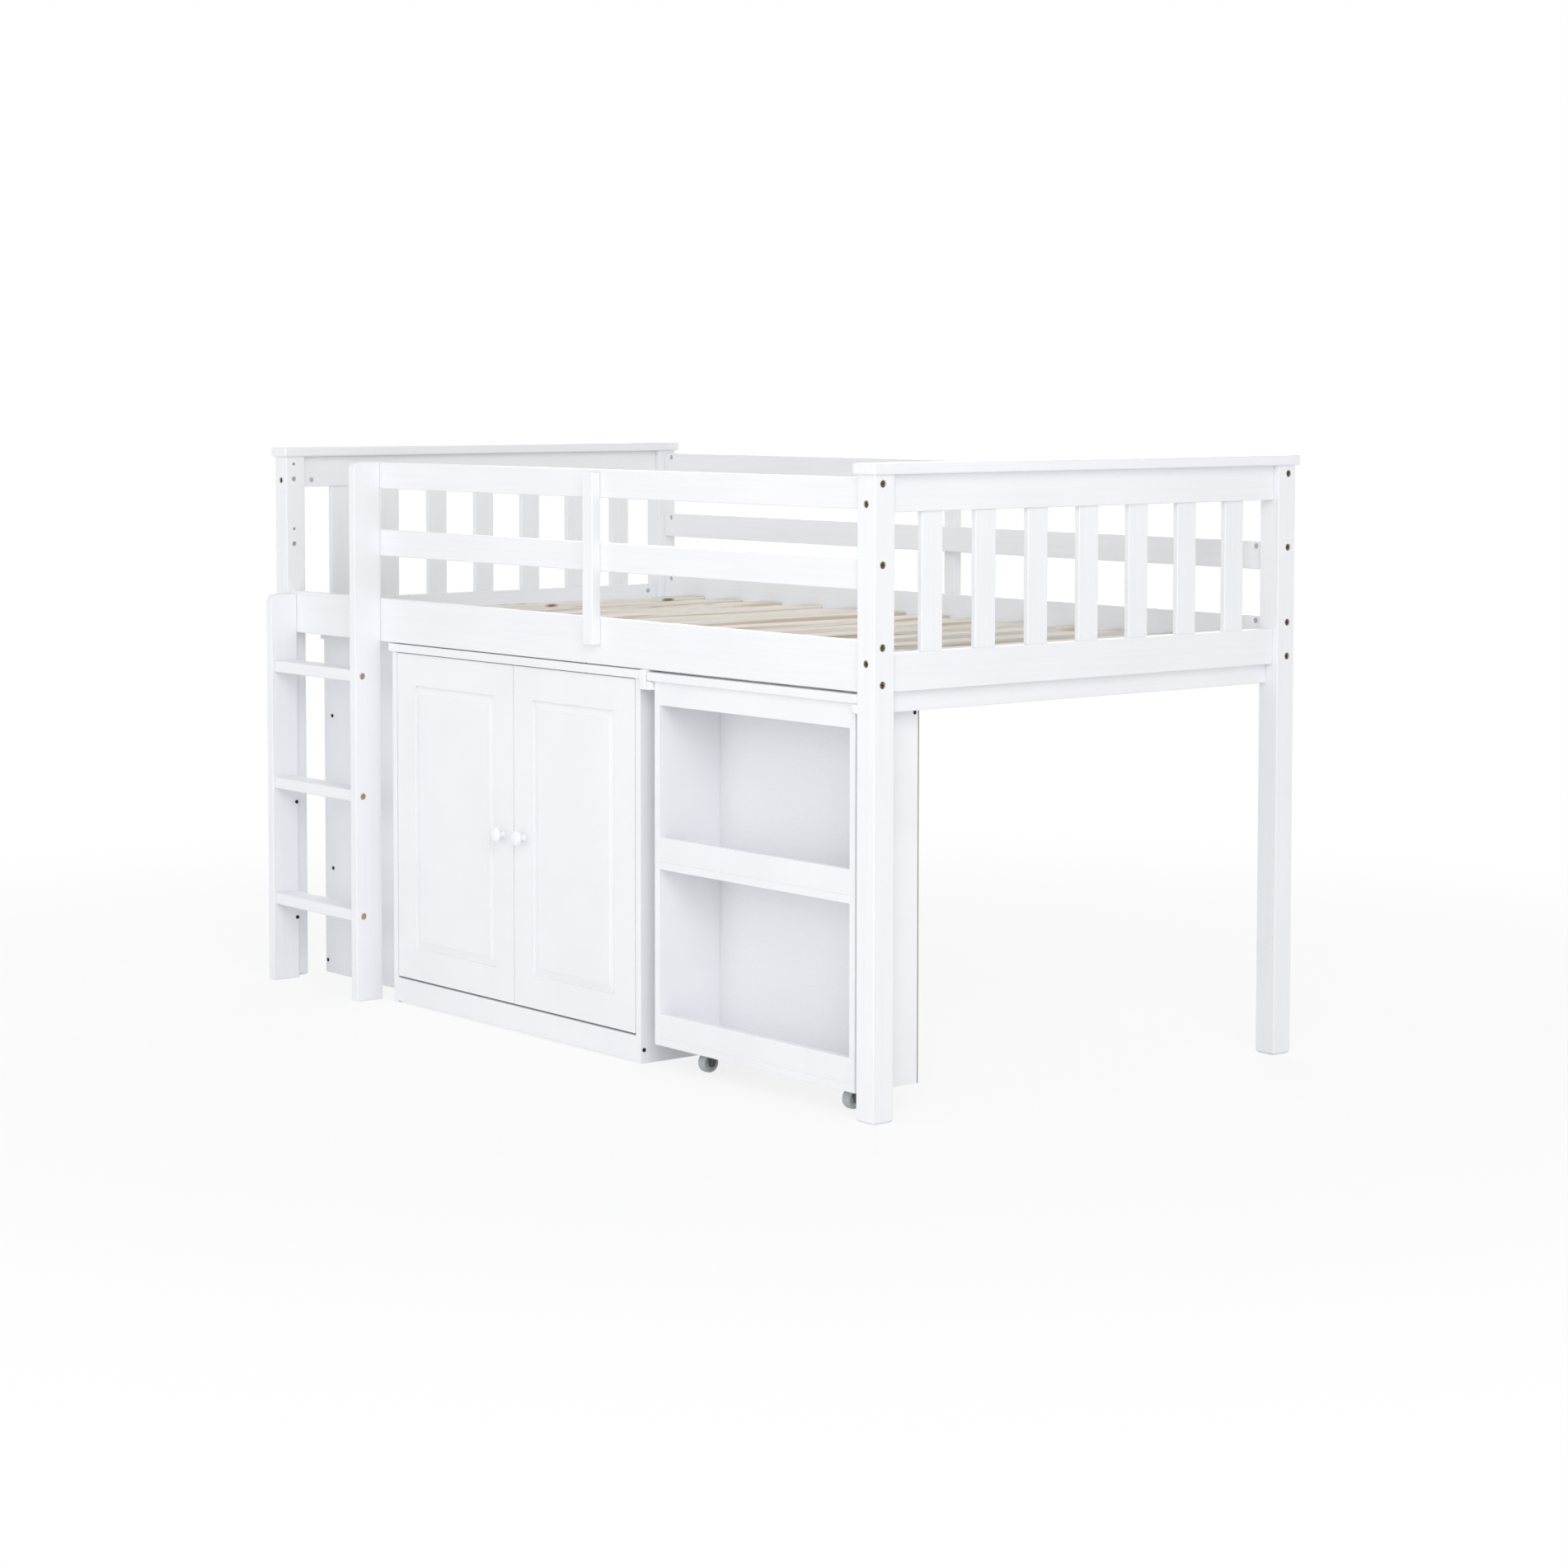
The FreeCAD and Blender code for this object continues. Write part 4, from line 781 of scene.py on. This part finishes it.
@dataclass
class SlatDeck:
    """Pine slats across the ledgers, spaced by one rule along the bed."""

    node: str = "mattress_slats"
    body: str = "bed"
    count: int = 13
    width_mm: float = 65.0
    edge_round_mm: float = 2.0
    edge_steps: int = 4
    seed: int = 7

    def build(self) -> Object:
        """Lays the slats with a node tree.

        Returns:
            All the slats as one mesh, each with its own shift of the wood's pattern.
        """
        low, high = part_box(self.node)
        width = self.width_mm * MM
        build = NodeBuild("slat_deck", {
            "Count": self.count,
            "First": (low.x + width / 2, 0.0, (low.z + high.z) / 2),
            "Pitch": ((high.x - low.x - width) / (self.count - 1), 0.0, 0.0),
            "Front End": (0.0, low.y, 0.0),
            "Rear End": (0.0, high.y, 0.0),
            "Width": width,
            "Thickness": high.z - low.z,
            "Edge Round": self.edge_round_mm * MM,
            "Edge Steps": self.edge_steps,
            "Seed": self.seed,
            "Finish": BARE_PINE.material(),
        })
        tree, given = build.tree, build.given
        places = add(tree, "GeometryNodeMeshLine", {
            "Count": given["Count"], "Start Location": given["First"], "Offset": given["Pitch"]})
        length = add(tree, "GeometryNodeCurvePrimitiveLine", {
            "Start": given["Front End"], "End": given["Rear End"]})
        section = add(tree, "GeometryNodeCurvePrimitiveQuadrilateral", {
            "Width": given["Width"], "Height": given["Thickness"]})
        eased = add(tree, "GeometryNodeFilletCurve", {
            "Curve": section, "Radius": given["Edge Round"], "Count": given["Edge Steps"]}, mode="POLY")
        board = add(tree, "GeometryNodeCurveToMesh", {
            "Curve": length, "Profile Curve": eased, "Fill Caps": True})
        laid = add(tree, "GeometryNodeInstanceOnPoints", {"Points": places, "Instance": board})
        shift = add(tree, "FunctionNodeRandomValue", {
            "Max": (MOST_SHIFT, MOST_SHIFT, MOST_SHIFT), "Seed": given["Seed"]}, data_type="FLOAT_VECTOR")
        marked = add(tree, "GeometryNodeStoreNamedAttribute", {
            "Geometry": laid, "Name": SHIFT_NAME, "Value": shift},
            data_type="FLOAT_VECTOR", domain="INSTANCE")
        build.close(marked)
        return build.run("slats", bpy.data.meshes.new("slat_start"))

    def dress(self) -> None:
        """Puts the slats in place of the CAD ones."""
        stand_in(self.build(), self.body, self.node)


@dataclass
class Ladder:
    """Two uprights and the treads between them."""

    uprights: tuple[str, ...] = ("ladder_left_upright", "ladder_right_upright")
    treads: str = "ladder_treads"

    def dress(self) -> None:
        """Lacquers the uprights along their height and the treads along their length."""
        WHITE_UPRIGHT.cover(*self.uprights)
        WHITE_LENGTHWISE.cover(self.treads)


@dataclass
class Cabinet:
    """Painted cabinet with two routed doors, turned knobs and concealed hinges."""

    carcass: tuple[str, ...] = (
        "cabinet_left_side", "cabinet_right_side", "cabinet_top", "cabinet_bottom", "cabinet_shelf",
        "cabinet_plinth")
    back: str = "cabinet_back"
    doors: tuple[str, ...] = ("left_door", "right_door")
    hinges: tuple[str, ...] = ("hinge_arms", "left_hinge_cups", "right_hinge_cups")
    # Radius of the stud, and how deep it goes into the door.
    stud_mm: tuple[float, float] = (2.5, 13.0)
    # Radius and distance from the door's face at each turn of the outline: the foot's rim, the waist, the
    # ball's underside, its widest place and its crown. It swings from one to the next by a quarter ellipse.
    knob_turns_mm: tuple[tuple[float, float], ...] = (
        (9.0, 1.4), (5.3, 9.0), (8.8, 14.0), (16.0, 21.2), (0.0, 28.0))
    knob_segments: int = 48

    def knob(self, side: str) -> None:
        """Turns one knob and sets it in place of the CAD one.

        Args:
            side: Which door it is on, "left" or "right".
        """
        node = f"{side}_door_knob"
        low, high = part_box(node)
        radius, depth = self.stud_mm
        turns = [Ring(r, d) for r, d in self.knob_turns_mm]
        foot = Ring(turns[0].radius, 0.0)
        outline = [Ring(0.0, -depth), Ring(radius, -depth), Ring(radius, 0.0), foot, turns[0]]
        for index, (start, end) in enumerate(zip(turns, turns[1:])):
            outline += quarter(start, end, across=index % 2 == 0)
        middle = Vector(((low.x + high.x) / 2, high.y - depth * MM, (low.z + high.z) / 2))
        forward = Matrix.Translation(middle) @ Matrix.Rotation(math.radians(90), 4, "X")
        piece = turned(f"{node}_turned", outline, self.knob_segments, forward)
        piece.data.materials.append(WHITE_KNOB.material())
        stand_in(piece, f"{side}_door", node)

    def dress(self) -> None:
        """Paints the boards and doors, turns the knobs and plates the hinges."""
        WHITE_PANEL.cover(*self.carcass)
        BACK_BOARD.cover(self.back)
        WHITE_DOOR.cover(*self.doors)
        for side in ("left", "right"):
            self.knob(side)
        NICKEL.cover(*self.hinges)


@dataclass
class EndShelf:
    """Painted shelf behind the ladder."""

    boards: tuple[str, ...] = (
        "end_shelf_front_panel", "end_shelf_rear_panel", "end_shelf_boards", "end_shelf_top")

    def dress(self) -> None:
        """Paints the boards."""
        WHITE_PANEL.cover(*self.boards)


@dataclass
class Desk:
    """Pull-out desk: its top, the bookcase under it, its runners and casters."""

    boards: tuple[str, ...] = (
        "desk_top", "bookcase_left_side", "bookcase_right_side", "bookcase_rails", "bookcase_shelves",
        "bookcase_lips")
    back: str = "bookcase_back"
    runners: tuple[str, ...] = ("desk_runner_boards", "desk_runner_ledges")
    forks: str = "caster_forks"
    # Radius and distance from the wheel's middle, on one of its sides: bore, hub, web and rim.
    wheel_side_mm: tuple[tuple[float, float], ...] = (
        (3.3, 9.6), (5.6, 9.6), (6.2, 9.0), (6.6, 7.6), (11.6, 7.2), (13.0, 7.8), (13.4, 9.4), (14.0, 10.0),
        (16.2, 10.0))
    # The tread's radius, and how far from the middle its round shoulder starts.
    tread_mm: tuple[float, float] = (19.0, 3.0)
    wheel_segments: int = 56

    def wheel(self, side: str) -> None:
        """Turns one wheel and sets it in place of the CAD one.

        Args:
            side: Which caster it is on, "left" or "right".
        """
        node = f"{side}_caster_wheel"
        low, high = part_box(node)
        half = [Ring(r, d) for r, d in self.wheel_side_mm]
        half += quarter(half[-1], Ring(*self.tread_mm), across=True)
        outline = [Ring(ring.radius, -ring.depth) for ring in half] + half[::-1]
        outline.append(outline[0])
        along = Matrix.Translation((low + high) / 2) @ Matrix.Rotation(math.radians(90), 4, "Y")
        piece = turned(f"{node}_turned", outline, self.wheel_segments, along)
        piece.data.materials.append(GREY_TYRE.material())
        stand_in(piece, f"{side}_wheel", node)

    def dress(self) -> None:
        """Paints the boards, turns the wheels and gives the casters their plastics."""
        WHITE_PANEL.cover(*self.boards)
        BACK_BOARD.cover(self.back)
        WHITE_CROSSWISE.cover(*self.runners)
        DARK_FORK.cover(self.forks)
        for side in ("left", "right"):
            self.wheel(side)


@dataclass(frozen=True)
class Spot:
    """Where one fastener is: the middle of its head's outer face and the way that it goes in."""

    head: Vector
    inward: Vector
    length: float
    radius: float


@dataclass
class FastenerSet:
    """Fasteners of one kind on one body, set at the places of their CAD solids."""

    node: str
    body: str
    slot: str
    finish: Finish
    socket: Outline
    shank_mm: float
    head_mm: float
    # How much a fastener that goes straight down is raised, so that its head shows on the board.
    raise_mm: float = 0.0
    segments: int = 24
    seed: int = 3
    # The recess's radius is a share of the head's. Each pair is a ring's radius and depth: the radius is a
    # share of the recess's or, on the crown, of the head's, and the depth is a share of the head's height.
    recess_share: float = 0.46
    bottom_share: float = 0.6
    recess_shares: tuple[tuple[float, float], ...] = ((0.86, 0.58), (1.0, 0.05))
    rim_share: float = 1.16
    crown_shares: tuple[tuple[float, float], ...] = ((0.74, 0.05), (0.91, 0.16), (1.0, 0.36), (1.0, 1.0))
    point_mm: float = 1.0
    point_share: float = 0.6

    def islands(self) -> list[list[Vector]]:
        """Parts the CAD node's triangles into its separate solids.

        Returns:
            The points of each solid.
        """
        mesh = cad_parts[self.node].data
        keys = [tuple(round(c, 6) for c in v.co) for v in mesh.vertices]
        owner = {key: key for key in keys}

        def root(key: tuple[float, ...]) -> tuple[float, ...]:
            """Follows a point to the one that stands for its solid.

            Args:
                key: The point.

            Returns:
                The point that all points of that solid lead to.
            """
            while owner[key] != key:
                owner[key] = owner[owner[key]]
                key = owner[key]
            return key

        for polygon in mesh.polygons:
            first, *others = (keys[i] for i in polygon.vertices)
            for other in others:
                owner[root(other)] = root(first)
        solids: dict[tuple[float, ...], list[Vector]] = {}
        for key in sorted(set(keys)):
            solids.setdefault(root(key), []).append(Vector(key))
        return [solids[key] for key in sorted(solids)]

    def spots(self) -> list[Spot]:
        """Reads each fastener's place from its solid: the wide end is the head.

        Returns:
            One spot for each solid.
        """
        found = []
        for points in self.islands():
            low = Vector(min(p[i] for p in points) for i in range(3))
            high = Vector(max(p[i] for p in points) for i in range(3))
            spans = high - low
            axis = max(range(3), key=lambda i: spans[i])
            middle = (low + high) / 2
            across = [i for i in range(3) if i != axis]
            wide = max(points, key=lambda p: math.hypot(*(p[i] - middle[i] for i in across)))
            sign = 1.0 if wide[axis] < middle[axis] else -1.0
            head = middle.copy()
            head[axis] = low[axis] if sign > 0 else high[axis]
            inward = Vector((0, 0, 0))
            inward[axis] = sign
            found.append(Spot(head, inward, spans[axis], spans[across[0]] / 2))
        return found

    def rings(self, spot: Spot) -> list[Ring]:
        """Draws the fastener's section, with a low crown and a driver recess.

        Args:
            spot: One fastener, for its length and head radius.

        Returns:
            The rings from the recess to the point.
        """
        wide, tall, length = spot.radius / MM, self.head_mm, spot.length / MM
        recess, shank = self.recess_share * wide, self.shank_mm
        return [
            Ring(0.0, self.bottom_share * tall),
            *(Ring(recess * r, d * tall, self.socket) for r, d in self.recess_shares),
            Ring(recess * self.rim_share, 0.0),
            *(Ring(wide * r, d * tall) for r, d in self.crown_shares),
            Ring(shank, tall),
            Ring(shank, length - self.point_mm),
            Ring(shank * self.point_share, length),
            Ring(0.0, length),
        ]

    def places(self, spots: Sequence[Spot]) -> Mesh:
        """Marks the fasteners' places for the node tree.

        Args:
            spots: The fasteners.

        Returns:
            One point for each head, with the way that its fastener goes in.
        """
        points = bpy.data.meshes.new(f"{self.node}_places")
        lift = self.raise_mm * MM
        points.from_pydata([s.head - s.inward * (lift if s.inward.z < 0 else 0.0) for s in spots], [], [])
        inward = points.attributes.new("inward", "FLOAT_VECTOR", "POINT")
        inward.data.foreach_set("vector", [c for s in spots for c in s.inward])
        return points

    def dress(self) -> None:
        """Sets the fasteners with a node tree, each turned by chance about its own axis."""
        spots = self.spots()
        master = turned(f"{self.node}_master", self.rings(spots[0]), self.segments, Matrix())
        build = NodeBuild(f"{self.node}_set", {
            "Fastener": master,
            "Most Turn": math.tau,
            "Seed": self.seed,
            "Finish": self.finish.material(),
        })
        tree, given = build.tree, build.given
        shape = add(tree, "GeometryNodeObjectInfo", {"Object": given["Fastener"]})
        way = add(tree, "GeometryNodeInputNamedAttribute", {"Name": "inward"}, data_type="FLOAT_VECTOR")
        facing = add(tree, "FunctionNodeAlignRotationToVector", {"Vector": way}, axis="Z")
        chance = add(tree, "FunctionNodeRandomValue", {
            "Max": given["Most Turn"], "Seed": given["Seed"]}, data_type="FLOAT")
        spin = add(tree, "FunctionNodeAxisAngleToRotation", {"Axis": (0.0, 0.0, 1.0), "Angle": chance})
        seated = add(tree, "FunctionNodeRotateRotation", {0: facing, 1: spin}, rotation_space="LOCAL")
        laid = add(tree, "GeometryNodeInstanceOnPoints", {
            "Points": given["Geometry"], "Instance": shape.outputs["Geometry"], "Rotation": seated})
        build.close(laid)
        piece = build.run(f"{self.node}_dressed", self.places(spots))
        bpy.data.objects.remove(master)
        stand_in(piece, self.body, self.node)


@dataclass
class Hardware:
    """Bolts, nuts, dowels and screws."""

    sets: tuple[FastenerSet, ...] = (
        # The frame bolts take the brass darkened as painted shade, and the ladder bolts take the same brass
        # lightened as painted light.
        FastenerSet("frame_bolts", "bed", "bolt_brass", ANTIQUE_BRASS_AND_PAINTED_SHADE, Outline.HEX, shank_mm=3.0,
                    head_mm=5.0),
        FastenerSet("ladder_bolts", "bed", "bolt_brass", PALE_BRASS_AND_PAINTED_LIGHT, Outline.HEX, shank_mm=3.0, head_mm=5.0,
                    seed=5),
        FastenerSet("wood_screws", "bed", "dark_screw", BLACK_ZINC, Outline.CROSS, shank_mm=2.0, head_mm=2.0,
                    raise_mm=0.4),
        FastenerSet("bookcase_screws", "desk", "dark_screw", BLACK_ZINC, Outline.CROSS, shank_mm=2.0,
                    head_mm=2.0),
    )
    nuts: str = "barrel_nuts"
    dowels: str = "joint_dowels"

    def dress(self) -> None:
        """Sets the bolts and screws, and finishes the nuts and dowels."""
        for each in self.sets:
            each.dress()
        BRIGHT_ZINC.cover(self.nuts)
        BARE_BEECH.cover(self.dowels)


@dataclass(frozen=True)
class Lamp:
    """One soft square lamp: its place and side in metres, its power in watts."""

    label: str
    at: tuple[float, float, float]
    side: float
    power: float

    def hang(self, aim: tuple[float, float, float]) -> None:
        """Hangs the lamp.

        Args:
            aim: The point that it faces.
        """
        data = bpy.data.lights.new(self.label, "AREA")
        data.size = self.side
        data.energy = self.power
        holder = placed(self.label, data)
        start = Vector(self.at)
        holder.location = start
        holder.rotation_euler = (Vector(aim) - start).to_track_quat("-Z", "Y").to_euler()


@dataclass
class Studio:
    """A white floor and surroundings, soft lamps and the camera of the product photograph."""

    floor_half: float = 14.0
    floor_drop_mm: float = 0.4
    # The floor shows its shadows within the first distance and is plain white from the second on.
    fade_from: float = 1.6
    fade_to: float = 3.4
    near_white: float = 0.8
    paper: str = "#F4F4F4"
    white: str = "#FFFFFF"
    dome: str = "#FEFEFF"
    dome_strength: float = 0.635
    lamps: tuple[Lamp, ...] = (
        Lamp("high_lamp", (5.6, -3.8, 4.0), side=4.0, power=158.0),
        Lamp("low_lamp", (5.3, -4.2, 1.1), side=2.0, power=30.0),
        Lamp("front_lamp", (-0.5, -5.6, 1.7), side=3.0, power=41.0),
        Lamp("back_lamp", (-4.6, 4.9, 3.2), side=4.0, power=140.0),
    )
    lamp_aim: tuple[float, float, float] = (0.0, 0.0, 0.6)
    # The photograph's camera: its place in metres, its angles in radians and its lens in picture pixels.
    camera_at: tuple[float, float, float] = (5.53489, -4.52483, 1.31669)
    azimuth: float = 0.919871
    pitch: float = 0.060405
    roll: float = 0.001673
    sensor_mm: float = 36.0
    focal_px: float = 4177.76
    centre_px: tuple[float, float] = (758.70, 715.83)
    frame_px: float = 1902.0

    def seen_share(self, tree: NodeTree) -> Node:
        """Adds the test for rays that show the background, direct, mirrored or through glass.

        Args:
            tree: The tree that gets the test.

        Returns:
            The node that gives one for such rays and zero for light on the object.
        """
        path = add(tree, "ShaderNodeLightPath").outputs
        shown = add(tree, "ShaderNodeMath", {
            0: path["Is Camera Ray"], 1: path["Is Glossy Ray"]}, operation="MAXIMUM")
        return add(tree, "ShaderNodeMath", {0: shown, 1: path["Is Transmission Ray"]}, operation="MAXIMUM")

    def floor(self) -> None:
        """Lays the floor, which keeps the shadow near the object and fades to white further out."""
        half, level = self.floor_half, -self.floor_drop_mm * MM
        corners = [(x * half, y * half, level) for x, y in ((-1, -1), (1, -1), (1, 1), (-1, 1))]
        mesh = bpy.data.meshes.new("studio_floor")
        mesh.from_pydata(corners, [], [(0, 1, 2, 3)])
        made = bpy.data.materials.new("white_studio_paper")
        tree = fresh_tree(made)
        place = add(tree, "ShaderNodeTexCoord").outputs["Object"]
        away = add(tree, "ShaderNodeVectorMath", {0: place}, operation="LENGTH")
        fade = add(tree, "ShaderNodeMapRange", {
            "Value": away, "From Min": self.fade_from, "From Max": self.fade_to,
            "To Min": self.near_white}, interpolation_type="SMOOTHSTEP")
        share = add(tree, "ShaderNodeMath", {0: fade, 1: self.seen_share(tree)}, operation="MULTIPLY")
        paper = add(tree, "ShaderNodeBsdfDiffuse", {"Color": linear(self.paper)})
        white = add(tree, "ShaderNodeEmission", {"Color": linear(self.white)})
        both = add(tree, "ShaderNodeMixShader", {0: share, 1: paper, 2: white})
        add(tree, "ShaderNodeOutputMaterial", {"Surface": both})
        mesh.materials.append(made)
        placed("studio_floor", mesh)

    def surroundings(self) -> None:
        """Sets an even dome of light, seen as plain white."""
        world = bpy.data.worlds.new("white_studio")
        bpy.context.scene.world = world
        tree = fresh_tree(world)
        light = add(tree, "ShaderNodeBackground", {
            "Color": linear(self.dome), "Strength": self.dome_strength})
        shown = add(tree, "ShaderNodeBackground", {"Color": linear(self.white)})
        both = add(tree, "ShaderNodeMixShader", {0: self.seen_share(tree), 1: light, 2: shown})
        add(tree, "ShaderNodeOutputWorld", {"Surface": both})

    def camera(self) -> None:
        """Sets up the camera by the photograph's viewing angle and framing."""
        data = bpy.data.cameras.new("product_camera")
        data.sensor_width = self.sensor_mm
        data.lens = self.focal_px / self.frame_px * self.sensor_mm
        data.shift_x = 0.5 - self.centre_px[0] / self.frame_px
        data.shift_y = self.centre_px[1] / self.frame_px - 0.5
        cos_a, sin_a = math.cos(self.azimuth), math.sin(self.azimuth)
        forward = Vector((-sin_a * math.cos(self.pitch), cos_a * math.cos(self.pitch), -math.sin(self.pitch)))
        level = Vector((cos_a, sin_a, 0.0))
        down = forward.cross(level)
        right = level * math.cos(self.roll) + down * math.sin(self.roll)
        up = level * math.sin(self.roll) - down * math.cos(self.roll)
        turn = Matrix((right, up, -forward)).transposed().to_4x4()
        holder = placed("product_camera", data)
        holder.matrix_world = Matrix.Translation(self.camera_at) @ turn
        bpy.context.scene.camera = holder

    def dress(self) -> None:
        """Sets up floor, light and camera."""
        self.floor()
        self.surroundings()
        for lamp in self.lamps:
            lamp.hang(self.lamp_aim)
        self.camera()
        bpy.context.scene.view_settings.view_transform = "Standard"


def main() -> None:
    """Builds and dresses the bed piece by piece."""
    logging.basicConfig(level=logging.INFO, format="%(message)s")
    for part in (BedFrame(), SlatDeck(), Ladder(), Cabinet(), EndShelf(), Desk(), Hardware(), Studio()):
        LOG.info("%s", type(part).__name__)
        part.dress()


if __name__ == "__main__":
    main()
